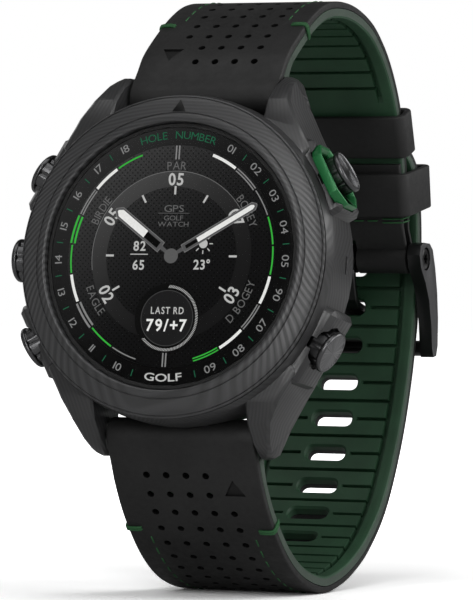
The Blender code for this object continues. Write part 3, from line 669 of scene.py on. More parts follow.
def make_buttons():
    """Fluted caps with a turned end face."""
    body = brushed("button_metal", (0.12, 0.12, 0.123), 0.30, "z")
    end_face = sunburst()
    flutes, around = 8, 128
    for name, (angle, end) in BUTTONS.items():
        under = end - 2.6
        profile = [(0.85, 17.9, 0), (0.85, under, 0), (2.5, under, 0), (2.74, under + 0.12, 1),
                   (2.8, under + 0.3, 1), (2.8, end - 0.85, 1), (2.82, end - 0.76, 0.6),
                   (2.9, end - 0.68, 0), (2.97, end - 0.6, 0), (3.0, end - 0.48, 0),
                   (3.0, end - 0.26, 0), (2.95, end - 0.12, 0), (2.84, end - 0.02, 0),
                   (2.70, end, 0), (2.6, end - 0.03, 0), (2.5, end - 0.10, 0),
                   (1.2, end - 0.02, 0), (0.05, end + 0.06, 0)]
        rings = []
        for radius, height, cut in profile:
            ring = []
            for k in range(around):
                turn = 2 * math.pi * k / around
                notch = max(0.0, math.cos(flutes * turn)) ** 3
                r = radius - 0.22 * cut * notch
                ring.append((r * math.cos(turn), r * math.sin(turn), height))
            rings.append(ring)
        cap = loft(f"button_{name}_finished", rings, button_place(angle), body, end_face, angle=34)
        for face in cap.data.polygons:
            middle = face.center
            if middle.z > (end - 0.11) * MM and math.hypot(middle.x, middle.y) < 2.72 * MM:
                face.material_index = 1
        wear(cap, f"{name}_button", f"button_{name}")


def make_glass():
    """Coated sapphire, clear with a faint reflection."""
    clear, tree, shader = surface("sapphire_glass", (0.0, 0.0, 0.0), 0.12, IOR=1.77,
                                   Alpha=0.018)
    smear = noise(tree, where(tree)[0], 0.08, 2.0)
    tree.links.new(remap(tree, smear, 0.3, 0.7, 0.26, 0.34), shader.inputs["Roughness"])
    glass = turned("crystal_finished", [(0, 1.22), (17.95, 1.22), (18.0, 1.26), (18.0, 1.74),
                                        (17.95, 1.82), (17.84, 1.88), (17.7, 1.9), (0, 1.9)],
                   160, CASE, clear, angle=60)
    wear(glass, "case", "crystal")


# ---------------------------------------------------------------- display

def on_dial(radius, degrees):
    """A point of the dial; degrees run clockwise from 12."""
    angle = math.radians(degrees)
    return radius * math.sin(angle), radius * math.cos(angle)


def flat(name, outlines, height, material, thick=0.008):
    return wear(prism(name, outlines, height - thick, height, CASE, material, angle=0), "case",
                slot="display_glass")


def sector(inner, outer, start, end, segments=None):
    """The outline of a piece of a ring."""
    segments = segments or max(2, round((end - start) / 2))
    outline = [on_dial(outer, start + (end - start) * k / segments) for k in range(segments + 1)]
    outline += [on_dial(inner, end - (end - start) * k / segments) for k in range(segments + 1)]
    return outline


def circle(radius, centre=(0, 0), segments=72):
    return [(centre[0] + radius * math.cos(2 * math.pi * k / segments),
             centre[1] + radius * math.sin(2 * math.pi * k / segments)) for k in range(segments)]


def bar(centre, turn, length, width):
    """A rectangle centred on a point, long way along a direction clockwise from 12."""
    along = Vector(on_dial(1, turn))
    side = Vector((along.y, -along.x))
    middle = Vector(centre)
    return [tuple(middle + along * a * length / 2 + side * b * width / 2)
            for a, b in ((1, 1), (1, -1), (-1, -1), (-1, 1))]


def letters(text, size, stretch=1.0, weight=0.0):
    """Flat meshes of a text's characters with each one's left edge and width, in millimetres."""
    out, pen = [], 0.0
    for character in text:
        if character == " ":
            pen += size * 0.33 * stretch
            continue
        curve = bpy.data.curves.new("letter", "FONT")
        curve.body = character
        curve.size = size
        curve.offset = weight * size
        curve.resolution_u = 3
        mesh = bake_curve(linked("letter", curve))
        mesh.transform(Matrix.Diagonal((stretch, 1, 1, 1)))
        xs = [v.co.x for v in mesh.vertices]
        low, width = min(xs), max(xs) - min(xs)
        mesh.transform(Matrix.Translation((-low - width / 2, 0, 0)))
        out.append((mesh, pen + width / 2))
        pen += width + size * 0.10
    return out, pen - size * 0.10


def write(name, items, height, material):
    """Texts as one flat piece. Each item: text, size, radius or centre, degrees, how it stands.

    "out" reads with its top outwards, "in" with its top to the hub, "up" stands upright.
    """
    shape = bmesh.new()
    for text, size, spot, degrees, stands, stretch, weight in items:
        glyphs, width = letters(text, size, stretch, weight)
        cap = size * 0.35
        for mesh, middle in glyphs:
            off = middle - width / 2
            if stands == "up":
                move = Matrix.Translation((spot[0] + off, spot[1] - cap, 0))
            elif stands == "out":
                turn = degrees + math.degrees(off / spot)
                x, y = on_dial(spot - cap, turn)
                move = Matrix.Translation((x, y, 0)) @ Matrix.Rotation(-math.radians(turn), 4, "Z")
            else:
                turn = degrees - math.degrees(off / spot)
                x, y = on_dial(spot + cap, turn)
                move = (Matrix.Translation((x, y, 0))
                        @ Matrix.Rotation(math.pi - math.radians(turn), 4, "Z"))
            mesh.transform(move)
            shape.from_mesh(mesh)
            bpy.data.meshes.remove(mesh)
    mesh = bpy.data.meshes.new(name)
    shape.to_mesh(mesh)
    shape.free()
    mesh.transform(Matrix.Diagonal((MM, MM, MM, 1)))
    obj = put(name, mesh, CASE @ Matrix.Translation((0, 0, height * MM)), material, angle=0)
    return wear(obj, "case", slot="display_glass")


NUMERALS = [28 + 16 * k for k in range(9)] + [204 + 16 * k for k in range(9)]
# each hole's arc: W white, G grey or L lime; 1 for one line, 2 for two, 3 for two thick ones
SCORES = ["W1", "G2", "G1", "L1", "L1", "W1", "G2", "W1", "L2", "G1", "L1", "G3", "W1", "L1",
          "L3", "G2", "W1", "L1"]


def make_display():
    back = dial_back()
    white = lit("display_white", (0.86, 0.86, 0.84), 0.95)
    pale = lit("display_pale", (0.62, 0.62, 0.61), 0.8)
    grey = lit("display_grey", (0.30, 0.30, 0.30), 0.75)
    dim = lit("display_dim", (0.16, 0.16, 0.16), 0.75)
    lime = lit("display_lime", (0.035, 0.42, 0.045), 1.0)
    deep = lit("display_deep_green", (0.012, 0.115, 0.055), 0.9)
    # painted reflection: the score band glows lighter towards the upper left
    band = display_dark("display_band", 0.010, 0.5, 0.02, 0.075)
    edge = lit("display_band_edge", (0.20, 0.20, 0.20), 0.8)
    panel = turned("display_finished", [(0, 0.35), (15.2, 0.35), (15.2, DISPLAY_N), (0, DISPLAY_N)],
                   144, CASE, back)
    wear(panel, "case", "display_panel")
    # painted reflection: the number ring glows faintly lighter towards the upper left
    ring = display_dark("number_ring", 0.003, 0.4, 0.03, 0.018)
    chapter = turned("chapter_finished", [(15.25, 0.35), (17.6, 0.35), (17.6, 1.1), (17.5, 1.13),
                                          (15.35, 1.13), (15.25, 1.1)], 144, CASE, ring)
    wear(chapter, "case", "chapter_ring")
    top = DISPLAY_N + 0.02
    flat("score_band", [circle(11.65, segments=144), circle(9.5, segments=144)], top, band)
    flat("score_band_edge", [sector(11.6, 11.68, -100, 60)], top + 0.004, edge)
    make_scores(top, white, grey, lime)
    make_texts(pale, grey, dim, deep)
    ticks = [bar(on_dial(9.0, a), a, 1.15, 0.28) for a in (0, 30, 90, 120, 240, 270, 330, 60)]
    flat("hour_ticks", ticks, top + 0.006, pale)
    for x in (-0.22, 0.22):
        for y, side in ((14.2, "top"), (-14.2, "bottom")):
            flat(f"pair_mark_{side}_{'left' if x < 0 else 'right'}",
                 [bar((x, y), 0, 1.9, 0.2)], top + 0.006, grey)
    marks = [a + 8 for a in NUMERALS[:8]] + [a + 8 for a in NUMERALS[9:17]] + [164, 196]
    flat("hole_ticks", [bar(on_dial(16.65, a), a, 0.95, 0.13) for a in marks], 1.14, deep)
    make_small_dial(top, white, pale)
    make_weather(top, pale)
    make_hands(top, white)


def make_scores(top, white, grey, lime):
    groups = {"W": [], "G": [], "L": []}
    for code, middle in zip(SCORES, NUMERALS):
        kind, lines = code[0], int(code[1])
        start, end = middle - 7.5, middle + 7.5
        if kind == "W":
            spans = [(14.55, 14.95)]
        elif lines == 1:
            spans = [(14.64, 14.86)] if kind == "L" else [(14.67, 14.83)]
        elif lines == 2:
            spans = [(14.45, 14.62), (14.80, 14.97)]
        else:
            spans = [(14.3, 14.58), (14.84, 15.12)]
        groups[kind] += [sector(a, b, start, end, 10) for a, b in spans]
    for kind, name, material in (("W", "white", white), ("G", "grey", grey), ("L", "green", lime)):
        flat(f"score_arcs_{name}", groups[kind], top + 0.006, material)


def make_texts(pale, grey, dim, deep):
    numbers = [(f"{k + 1:02d}", 1.5, 16.62, angle, "in" if 100 < angle < 260 else "out", 1.22, 0.0)
               for k, angle in enumerate(NUMERALS)]
    write("hole_numbers", numbers, 1.145, grey)
    write("ring_words_top", [("HOLE  NUMBER", 1.5, 16.62, 0, "out", 1.1, 0.0)], 1.145, deep)
    write("ring_words_bottom", [("GOLF", 1.5, 16.6, 180, "in", 1.5, 0.012)], 1.145, pale)
    scores = [("PAR", "05", 0, "out"), ("BIRDIE", "05", -60, "out"), ("BOGEY", "07", 60, "out"),
              ("EAGLE", "02", 240, "in"), ("D BOGEY", "03", 120, "in")]
    write("score_words", [(word, 1.62, 12.42, angle, stands, 0.95 if word == "PAR" else 0.9, 0.0)
                          for word, total, angle, stands in scores], DISPLAY_N + 0.03, dim)
    write("score_totals", [(total, 2.35, 10.55, angle, stands, 0.92, 0.02)
                           for word, total, angle, stands in scores], DISPLAY_N + 0.034, pale)
    write("dial_words", [("GPS", 1.35, (0, 6.5), 0, "up", 1.35, 0.0),
                         ("GOLF", 0.95, (0, 5.2), 0, "up", 1.25, 0.0),
                         ("WATCH", 0.95, (0, 4.35), 0, "up", 1.25, 0.0)], DISPLAY_N + 0.03, dim)
    flat("dial_rule", [bar((0, 5.85), 90, 4.6, 0.06)], DISPLAY_N + 0.03, dim)


def make_small_dial(top, white, pale):
    """The round field at 6 o'clock with the last round's score."""
    centre = (0, -8.5)
    black = lit("display_black", (0.004, 0.004, 0.004), 0.3, (0.004,) * 3)
    field = lit("display_field", (0.010, 0.010, 0.0105), 0.4, (0.012,) * 3)
    rim = lit("display_rim", (0.09, 0.09, 0.09), 0.7)
    flat("small_dial_shade", [circle(4.7, centre)], top + 0.008, black)
    flat("small_dial_field", [circle(3.75, centre)], top + 0.012, field)
    flat("small_dial_rim", [circle(3.82, centre), circle(3.74, centre)], top + 0.014, rim)
    ticks = []
    for k in range(78):
        angle = 230 * (k + 0.5) / 78
        x, y = on_dial(4.32, angle)
        ticks.append(bar((centre[0] + x, centre[1] + y), angle + 28, 0.42, 0.085))
    flat("small_dial_scale", ticks, top + 0.014, pale)
    write("small_dial_words", [("LAST RD", 1.35, (0, centre[1] + 1.05), 0, "up", 0.82, 0.015)],
          top + 0.016, pale)
    write("small_dial_score", [("79/+7", 2.3, (0, centre[1] - 0.95), 0, "up", 0.95, 0.02)],
          top + 0.016, white)


def make_weather(top, pale):
    write("temperatures", [("82", 1.85, (-4.7, 1.35), 0, "up", 0.92, 0.02),
                           ("65", 1.85, (-4.7, -1.25), 0, "up", 0.92, 0.02),
                           ("23°", 1.85, (4.55, -1.15), 0, "up", 0.92, 0.02)], top + 0.006, pale)
    flat("temperature_rule", [bar((-4.7, 0.2), 90, 2.6, 0.13)], top + 0.006, pale)
    sun = (4.6, 1.7)
    rays = [bar((sun[0] + 1.15 * math.sin(math.radians(a)), sun[1] + 1.15 * math.cos(math.radians(a))),
                a, 0.5, 0.15) for a in range(0, 360, 45)]
    flat("sun", [circle(0.62, sun, 32)] + rays, top + 0.006, pale)


def make_hands(top, white):
    """Sword hands with an open inner part and a filled outer part, on a hub."""
    frame_grey = lit("hand_frame", (0.085, 0.085, 0.086), 1.0)
    rim = lit("hand_rim", (0.17, 0.17, 0.17), 1.0)
    inside = lit("hand_inside", (0.003,) * 3, 0.5, (0.002,) * 3)
    for name, angle, length, width, filled, lift in (("hour", -53, 10.6, 1.5, 4.9, 0.022),
                                                     ("minute", 59.3, 13.9, 1.05, 4.3, 0.026)):
        along = Vector(on_dial(1, angle))
        side = Vector((along.y, -along.x))

        def spot(a, b):
            return tuple(along * a + side * b)

        def blade(start, end, half, point):
            return [spot(start, -half), spot(start, half), spot(end - point, half), spot(end, 0.12),
                    spot(end, -0.12), spot(end - point, -half)]

        half = width / 2
        flat(f"{name}_hand_neck", [[spot(0.5, -0.22), spot(0.5, 0.22), spot(2.2, 0.3),
                                    spot(2.2, -0.3)]], top + lift, frame_grey)
        flat(f"{name}_hand_rim", [blade(1.9, length + 0.1, half + 0.1, half)], top + lift, rim)
        flat(f"{name}_hand_frame", [blade(2.0, length, half, half * 0.95)], top + lift + 0.004,
             frame_grey)
        flat(f"{name}_hand_inside", [blade(2.4, filled + 0.2, half - 0.28, 0.0)],
             top + lift + 0.008, inside)
        flat(f"{name}_hand_fill", [blade(filled, length - 0.35, half - 0.2, half * 0.75)],
             top + lift + 0.012, white)
    hub = lit("hand_hub", (0.10, 0.10, 0.10), 1.0)
    flat("hand_hub", [circle(1.02, segments=48)], top + 0.044, hub)


# ---------------------------------------------------------------- band

def leather_section(half, top, bottom, edge=0.28):
    """A strip's section: rounded upper edges, square lower ones."""
    points = []
    for k in range(4):
        angle = math.pi / 2 * k / 3
        points.append((-half + edge - edge * math.cos(angle), top + edge - edge * math.sin(angle)))
    points += [(-half + edge + (2 * half - 2 * edge) * k / 8, top) for k in range(1, 8)]
    for k in range(4):
        angle = math.pi / 2 * (1 - k / 3)
        points.append((half - edge + edge * math.cos(angle), top + edge - edge * math.sin(angle)))
    points += [(half, bottom), (half / 2, bottom), (-half / 2, bottom), (-half, bottom)]
    return points


def tail_half(left):
    """Half width of the tail at a length from its end."""
    if left >= 6:
        return HALF_W
    return 7.0 + (HALF_W - 7.0) * math.sqrt(max(0.0, 1 - (1 - left / 6) ** 2))


def barrel_line(side, radius, count=14):
    """Points and normals round the lug end, from under it up to the barrel's top."""
    centre, along, out = lug_frame(side)
    points = []
    for k in range(count):
        angle = math.radians(225 - 135 * k / count)
        way = math.cos(angle) * along + math.sin(angle) * out
        points.append((centre + radius * way, way))
    return points


def holes(side, first, rows, pitch, skip):
    """Cutters for the vent holes, whose walls take a near-black leather as painted shade; the rows
    nearest the lug leave out one column.
    """
    line = LINE[side]
    cutters = []
    for row in range(rows):
        point, out = line.at(first + row * pitch)
        place = strap_place(point, out)
        for column in range(5):
            if row < 2 and column == skip:
                continue
            x = (column - 2) * HOLE_PITCH + (0.4 if side > 0 else 0.1)
            here = place @ Matrix.Translation(Vector((x, 0, 0)) * MM)
            cutters.append(turned("hole", [(0, -1.3), (HOLE_R - 0.02, -1.3), (HOLE_R, -0.08),
                                           (HOLE_R + 0.05, 0.02), (HOLE_R + 0.05, 0.5), (0, 0.5)],
                                  14, here, HOLE_WALL_SHADE, angle=0))
    return cutters


def arrow(side, length, x, point_to):
    """Cutter for the pressed triangle beside the first rows."""
    point, out = LINE[side].at(length)
    outline = [(x - 1.55, 1.2 * point_to), (x + 1.55, 1.2 * point_to), (x, -1.4 * point_to)]
    return prism("arrow", [outline], -0.4, 1.0, strap_place(point, out), EMBOSSED, angle=0)


def make_upper_leather(skin):
    line = LINE[1]
    half = SKIN / 2
    stations = barrel_line(1, BARREL_R - half)
    count = round(line.length / 0.8)
    for k in range(count + 1):
        point, out = line.at(line.length * k / count)
        stations.append((point - out * half, out))
    for k in range(1, 24):
        angle = math.radians(50 - 280 * k / 24)
        way = Vector((math.cos(angle), math.sin(angle)))
        stations.append((Vector(BUCKLE) + (2.2 - half) * way, way))
    low, high = line.where_up(5.8), line.where_up(15.2)
    for k in range(14):
        point, out = line.at(low + (high - low) * k / 13)
        stations.append((point - out * (2.55 + half), -out))
    rings = []
    for point, out in stations:
        rings.append([(*(point - out * depth), x)
                      for x, depth in leather_section(HALF_W, -half, half)])
    strap = loft("upper_leather_finished", rings, BAND, skin, angle=40)
    y, z = BUCKLE
    notch = prism("notch", [[(y - 4, z - 4), (y + 4, z - 4), (y + 4, z + 2.7), (y - 4, z + 2.7)]],
                  -3.05, 3.05, BAND, angle=0)
    cutters = joined(holes(1, 4.75, 7, 3.12, 0) + [arrow(1, 6.4, -6.6, 1)])
    combine(strap, [notch, cutters], "DIFFERENCE")
    sharpen(strap.data, 40)
    wear(strap, "band", "upper_leather")


def slot_lengths():
    line = LINE[-1]
    base = line.where_up(-6.9)
    return [base - i * PITCH for i in range(-1, 8)]


def slot_cutters(flare, material):
    """Slots through the tail; a flare widens their mouth on the wrist side."""
    cutters = []
    for length in slot_lengths():
        point, out = LINE[-1].at(length)
        rings = []
        for depth, grow in ((-1.5, 0), (CORE[1] - flare, 0), (CORE[1] + 0.02, 0.9 * flare),
                            (4.0, 0.9 * flare)):
            rings.append([(a, b, -depth) for a, b in
                          rounded(SLOT[0] + 2 * grow, SLOT[1] + 2 * grow, 1.0 + grow, 5)])
        cutters.append(loft("slot", rings, strap_place(point, out), material, angle=0))
    return joined(cutters)


def make_lower_leather(skin):
    line = LINE[-1]
    rings = []
    for point, out in barrel_line(-1, BARREL_R):
        rings.append([(*(point - out * depth), x) for x, depth in leather_section(HALF_W, 0, SKIN)])
    count = round(line.length / 0.8)
    for k in range(count + 1):
        length = line.length * k / count
        point, out = line.at(length)
        section = leather_section(tail_half(line.length - length), 0, SKIN)
        rings.append([(*(point - out * depth), x) for x, depth in section])
    strap = loft("lower_leather_finished", rings, BAND, skin, angle=40)
    cutters = joined(holes(-1, 4.85, 10, 3.13, 4) + [arrow(-1, 6.8, 6.8, -1)])
    combine(strap, [cutters, slot_cutters(0.2, skin)], "DIFFERENCE")
    sharpen(strap.data, 40)
    wear(strap, "band", "lower_leather")


GROOVE = 0.75  # depth
MARGIN = (8.4, 9.1)  # the groove along each edge


def lining(name, side, start, end, grooves, slotted, margin_end):
    """The rubber lining: a groove along each margin and grooves across between them.

    grooves lists lengths, slotted those where the middle is left plain round a slot.
    """
    line = LINE[side]
    stops = {}
    count = round(end - start)
    for k in range(count + 1):
        stops[start + (end - start) * k / count] = None
    for centre in grooves:
        for near in [s for s in stops if abs(s - centre) < 0.4]:
            del stops[near]
        for off in (-0.3, -0.24, 0.24, 0.3):
            stops[centre + off] = centre if abs(off) < 0.27 else None
    stops.pop(margin_end, None)
    columns = (0.0, 2.0, 3.86, 3.96, 6.3, MARGIN[0] - 0.08, MARGIN[0], MARGIN[1], MARGIN[1] + 0.08,
               9.9)
    rings = []
    for length in sorted(s for s in stops if start <= s <= end):
        centre = stops[length]
        half = tail_half(line.length - length) if side < 0 else HALF_W
        point, out = line.at(length)
        narrow = half / HALF_W

        def depth(x):
            if MARGIN[0] <= x <= MARGIN[1] and length < margin_end:
                return CORE[1] - GROOVE
            if centre is not None and x < MARGIN[0] and (centre not in slotted or x >= 3.96):
                return CORE[1] - GROOVE
            return CORE[1]

        right = [(x * narrow, depth(x)) for x in columns]
        corner = [(half - 0.4, CORE[1]), (half - 0.15, CORE[1] - 0.1), (half, CORE[1] - 0.35),
                  (half, CORE[0])]
        right += corner
        left = [(-x, d) for x, d in reversed(right)]
        section = right + left[:-1]
        rings.append([(*(point - out * d), x) for x, d in section])
    edge_from = len(columns) + 2
    return loft(f"{name}_finished", rings, BAND, GREEN, GREEN_EDGE, angle=28,
                edge_columns=(edge_from, edge_from + 2))


def make_linings():
    for name, side in (("upper", 1), ("lower", -1)):
        cheek(f"{name}_cheek_right", side, 1)
        cheek(f"{name}_cheek_left", side, -1)
    upper = LINE[1]
    end = max(upper.where_up(8.7), upper.length - 4.0)
    strap = lining("upper_rubber", 1, 7.2, end, [55.0 - 3.3 * k for k in range(14)], set(), 57.3)
    wear(strap, "band", "upper_rubber")
    slots = slot_lengths()
    grooves = sorted(slots + [s - PITCH / 2 for s in slots]
                     + [slots[0] + PITCH / 2, slots[0] + PITCH]
                     + [slots[-1] - PITCH / 2 * k for k in range(2, 11)])
    lower = LINE[-1]
    strap = lining("lower_rubber", -1, 7.2, lower.length, grooves, set(slots), lower.length - 6)
    combine(strap, [slot_cutters(0.3, GREEN)], "DIFFERENCE")
    sharpen(strap.data, 28)
    wear(strap, "band", "lower_rubber")


def cheek(name, side, sign):
    """The lining's cheek, which runs on beside the metal hook to the lug end."""
    line = LINE[side]
    rings = []
    for k in range(9):
        length = 2.9 + (7.25 - 2.9) * k / 8
        point, out = line.at(length)
        deep = CORE[1] + 0.45 * (1 - k / 8)
        low, high = 9.95, HALF_W
        section = [(low, CORE[0]), (high - 0.12, CORE[0]), (high, CORE[0] + 0.1),
                   (high, deep - 0.35), (high - 0.15, deep - 0.1), (high - 0.4, deep), (low, deep)]
        rings.append([(*(point - out * depth), sign * x) for x, depth in section])
    wear(loft(name, rings, BAND, GREEN_EDGE, angle=40), "band", slot="green_rubber")


def keeper(name, body, side_line, up_value, low, high, length, wall, material):
    """A leather loop round the strap, crowned outwards, with rounded edges."""
    point, out = side_line.at(side_line.where_up(up_value))
    centre = point - out * (low + high) / 2
    width = 2 * HALF_W + 0.9
    path = rounded(width + wall, high - low + wall, 1.1, 7)
    dense = []
    for one, two in zip(path, path[1:] + path[:1]):
        pieces = max(1, round(math.dist(one, two) / 1.5))
        dense += [tuple(Vector(one).lerp(Vector(two), i / pieces)) for i in range(pieces)]
    section = rounded(length, wall, 0.3, 3)
    rings = []
    for k, here in enumerate(dense):
        before, after = Vector(dense[k - 1]), Vector(dense[(k + 1) % len(dense)])
        run = (after - before).normalized()
        away = Vector((run.y, -run.x))
        ring = []
        for a, b in section:
            crown = 0.12 * (1 - (2 * a / length) ** 2) - 0.06
            spot = Vector(here) + away * (b + (crown if b > 0 else 0))
            ring.append((spot.x, a, spot.y))
        rings.append(ring)
    obj = loft(f"{name}_finished", rings, strap_place(centre, out), material, closed=True, angle=50)
    return wear(obj, body, name)


def make_keepers(skin):
    upper, lower = LINE[1], LINE[-1]
    keeper("fixed_keeper", "band", upper, 19.6, -0.35, 2.75, 6.4, 1.0, skin)
    point, out = upper.at(upper.where_up(10.6))
    tail = lower.at(lower.where_up(12.0))[0]
    reach = (tail - point).dot(out)
    keeper("free_keeper", "keeper", upper, 10.6, -reach - 0.85, 3.85, 6.4, 1.0, skin)


def make_stitches(thread):
    """Edge-wrapping bar stitches near the lugs, and lines of stitches that run on from them."""
    for name, side, bar_at, last in (("upper", 1, 14.2, 56.0), ("lower", -1, 14.4, 118.0)):
        line = LINE[side]
        bars, dashes = [], []
        for sign in (1, -1):
            edge = HALF_W + 0.05
            corner = [(8.7, 0.1), (8.9, -0.1), (9.5, -0.16), (10.4, -0.15), (10.85, -0.04),
                      (edge + 0.12, 0.35), (edge + 0.14, 1.2), (edge + 0.12, 2.2)]
            for off in (-0.2, 0.2):
                bars.append([line.deep(bar_at + off, depth, sign * x) for x, depth in corner])
            position = bar_at + 1.6
            while position < last:
                dashes.append([line.deep(position + off, depth, sign * 7.8)
                               for off, depth in ((0, 0.16), (0.15, 0.05), (0.8, 0.03),
                                                  (1.45, 0.05), (1.6, 0.16))])
                position += 2.5
        wear(threads(f"{name}_bar_stitches", bars, 0.2, BAND, thread), "band",
             slot="green_rubber")
        wear(threads(f"{name}_edge_stitches", dashes, 0.14, BAND, thread), "band",
             slot="green_rubber")
    make_back_stitches(thread)


def make_back_stitches(thread):
    """The rows across the folded leather above the buckle, and the tack on the keeper."""
    line = LINE[1]
    runs = []
    face = 2.55 + SKIN  # depth of the folded layer's wrist face
    at = line.where_up(6.75)
    for k in range(8):
        x = -9.6 + 2.15 * k
        runs.append([line.deep(at, face - 0.05, x), line.deep(at, face + 0.07, x + 0.15),
                     line.deep(at, face + 0.09, x + 0.8), line.deep(at, face + 0.07, x + 1.45),
                     line.deep(at, face - 0.05, x + 1.6)])
    for sign in (1, -1):
        for off in (-0.28, 0.28):
            runs.append([line.deep(at + off, face - 0.05, sign * 7.8),
                         line.deep(at + off, face + 0.08, sign * 8.1),
                         line.deep(at + off, face + 0.09, sign * 10.3),
                         line.deep(at + off, face - 0.1, sign * (HALF_W + 0.12)),
                         line.deep(at + off, 1.2, sign * (HALF_W + 0.14)),
                         line.deep(at + off, 0.2, sign * (HALF_W + 0.05))])
    at = line.where_up(19.6)
    runs.append([line.deep(at, depth, x) for x, depth in ((-5.3, 3.75), (-5.15, 3.92), (-3.9, 3.97),
                                                          (-2.75, 3.92), (-2.6, 3.75))])
    wear(threads("buckle_stitches", runs, 0.13, BAND, thread), "band", slot="green_rubber")


# ---------------------------------------------------------------- buckle

def make_buckle(black_metal, satin_metal):
    frame_piece = from_node("buckle_frame", BAND, 0.22, 3, satin_metal, black_metal, angle=40)
    for face in frame_piece.data.polygons:
        # the arms' outer and inner flanks are satin, the rest is polished black
        face.material_index = 0 if abs(face.normal.z) > 0.75 else 1
    wear(frame_piece, "buckle", "buckle_frame")
    tongue = from_node("buckle_tongue", BAND, 0.12, 2, black_metal, angle=40)
    wear(tongue, "tongue", "buckle_tongue")
    y, z = BUCKLE
    for name, sign in (("buckle_screw_right", 1), ("buckle_screw_left", -1)):
        place = BAND @ Matrix.Translation(Vector((y, z, 0)) * MM)
        if sign < 0:
            place = place @ Matrix.Rotation(math.pi, 4, "X")
        head = turned(f"{name}_finished",
                      [(0, 9.4), (0.55, 9.4), (0.55, 12.45), (1.5, 12.45), (1.56, 12.52),
                       (1.56, 13.05), (1.5, 13.18), (1.36, 13.25), (0, 13.25)], 64, place,
                      black_metal)
        lobes = []
        for k in range(72):
            turn = 2 * math.pi * k / 72
            r = 0.74 + 0.16 * math.cos(6 * turn)
            lobes.append((r * math.cos(turn), r * math.sin(turn)))
        combine(head, [prism("recess", [lobes], 12.7, 14, place, angle=0)], "DIFFERENCE")
        sharpen(head.data, 32)
        wear(head, "buckle", name)


# ---------------------------------------------------------------- plain nodes

def finish_nodes(table):
    """Materials for the CAD parts that are shown as they are, by their record slot."""
    slots = {row["node"]: row["material_slot"] for row in frame["record"]["subparts"]}
    for node, obj in frame["nodes"].items():
        material = table.get(slots[node])
        if material is None:
            continue
        obj.data.materials.clear()
        obj.data.materials.append(material)


# ---------------------------------------------------------------- stage

def make_stage():
    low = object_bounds()[0][2]
    mesh = bpy.data.meshes.new("floor")
    mesh.from_pydata([(-3, -3, low), (3, -3, low), (3, 5, low), (-3, 5, low)], [], [(0, 1, 2, 3)])
    floor = put("floor", mesh, Matrix.Identity(4), floor_white(), angle=0)
    world = bpy.data.worlds.new("studio")
    bpy.context.scene.world = world
    world.use_nodes = True
    tree = world.node_tree
    tree.nodes.clear()
    rays = add(tree, "LightPath").outputs["Is Camera Ray"]
    seen = add(tree, "Background", {"Color": (1, 1, 1, 1), "Strength": 1.0})
    unseen = add(tree, "Background", {"Color": (1, 1, 1, 1), "Strength": 0.05})
    mix = add(tree, "MixShader", {0: rays, 1: unseen.outputs[0], 2: seen.outputs[0]})
    add(tree, "OutputWorld", {0: mix.outputs[0]})
    # place, width and height, watts
    lamps = {"front": ((0.09, -1.0, 0.30), (0.20, 0.9), 3.8),
             "key_right": ((0.75, -0.10, 0.38), (0.5, 0.6), 2.4),
             "card_left": ((-0.85, -0.60, 0.25), (0.5, 0.8), 0.5),
             "low_right": ((0.72, -0.50, -0.02), (0.3, 0.4), 1.1),
             "top": ((0.0, -0.25, 0.75), (0.9, 0.5), 1.8),
             "back_right": ((0.60, 0.45, 0.35), (0.5, 0.5), 1.9),
             "back_left": ((-0.7, 0.45, 0.30), (0.4, 0.6), 0.8)}
    for name, (spot, size, watts) in lamps.items():
        lamp = bpy.data.lights.new(name, "AREA")
        lamp.shape = "RECTANGLE"
        lamp.size, lamp.size_y = size
        lamp.energy = watts
        obj = linked(name, lamp)
        obj.location = spot
        obj.rotation_euler = (-Vector(spot)).to_track_quat("-Z", "Y").to_euler()


def floor_white():
    """White paper: full white to the camera away from the shadow, dim to the object's reflections."""
    material = bpy.data.materials.new("floor")
    material.use_nodes = True
    tree = material.node_tree
    tree.nodes.clear()
    rays = add(tree, "LightPath").outputs["Is Camera Ray"]
    x, y = where(tree)[1:3]
    away = calc(tree, "SQRT", calc(tree, "ADD", calc(tree, "MULTIPLY", x, x),
                                   calc(tree, "MULTIPLY", y, y)))
    glow = add(tree, "Emission", {"Color": (1, 1, 1, 1),
                                  "Strength": remap(tree, away, 75, 300, 0.0, 1.2)})
    paper = add(tree, "BsdfDiffuse", {"Color": (FLOOR_GAIN,) * 3 + (1,)})
    seen = add(tree, "AddShader", {0: glow.outputs[0], 1: paper.outputs[0]})
    dull = add(tree, "BsdfDiffuse", {"Color": (0.6, 0.6, 0.6, 1)})
    mix = add(tree, "MixShader", {0: rays, 1: dull.outputs[0], 2: seen.outputs[0]})
    add(tree, "OutputMaterial", {0: mix.outputs[0]})
    return material


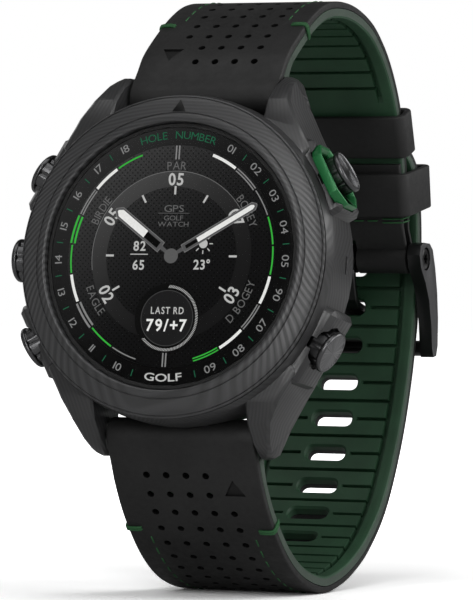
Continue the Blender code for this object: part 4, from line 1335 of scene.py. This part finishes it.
def make_camera():
    camera = bpy.data.cameras.new("camera")
    camera.sensor_fit = "VERTICAL"
    camera.sensor_height = 36
    camera.lens = 262.0
    camera.clip_start = 0.01
    obj = linked("camera", camera)
    obj.matrix_world = (Matrix.Translation(Vector((227.4, -583.9, -0.7)) * MM)
                        @ Matrix.Rotation(math.radians(21.79), 4, "Z")
                        @ Matrix.Rotation(math.pi / 2, 4, "X")
                        @ Matrix.Rotation(math.radians(0.662), 4, "Z"))
    bpy.context.scene.camera = obj


FLOOR_GAIN = 1.9
# near-black, almost glossless leather for the vent holes' walls: painted shade inside the holes
HOLE_WALL_SHADE = leather("hole_wall_painted_shade", 0.003, 0.08)
EMBOSSED = leather("embossed_leather", 0.008, 0.25)
GREEN = rubber("green_rubber", (0.022, 0.068, 0.033))
GREEN_EDGE = rubber("green_rubber_edge", (0.060, 0.085, 0.066), 0.6)


def main():
    make_camera()
    make_case()
    make_buttons()
    make_glass()
    make_display()
    skin = leather()
    make_upper_leather(skin)
    make_lower_leather(skin)
    make_linings()
    make_keepers(skin)
    thread = rubber("green_thread", (0.022, 0.105, 0.034), 0.7, 0.4)
    make_stitches(thread)
    black_metal = anodised("black_metal", (0.008, 0.008, 0.0085), 0.3)
    satin_metal = brushed("satin_metal", (0.17, 0.17, 0.175), 0.42, "y")
    make_buckle(black_metal, satin_metal)
    finish_nodes({
        "seal_rubber": rubber("seal_rubber", (0.010, 0.010, 0.010), 0.6),
        "contact_gold": brushed("contact_gold", (0.75, 0.55, 0.25), 0.3),
        "black_plastic": rubber("black_plastic", (0.015, 0.015, 0.016), 0.5),
        "board_green": rubber("board_green", (0.02, 0.12, 0.05), 0.5),
        "battery_foil": brushed("battery_foil", (0.55, 0.55, 0.56), 0.35),
        "bright_steel": brushed("bright_steel", (0.45, 0.45, 0.46), 0.28),
        "dark_steel": brushed("dark_steel", (0.16, 0.16, 0.163), 0.3),
        "rear_titanium": brushed("rear_titanium", (0.12, 0.12, 0.125), 0.38),
        "sensor_glass": anodised("sensor_glass", (0.006, 0.006, 0.008), 0.12),
    })
    make_stage()


main()
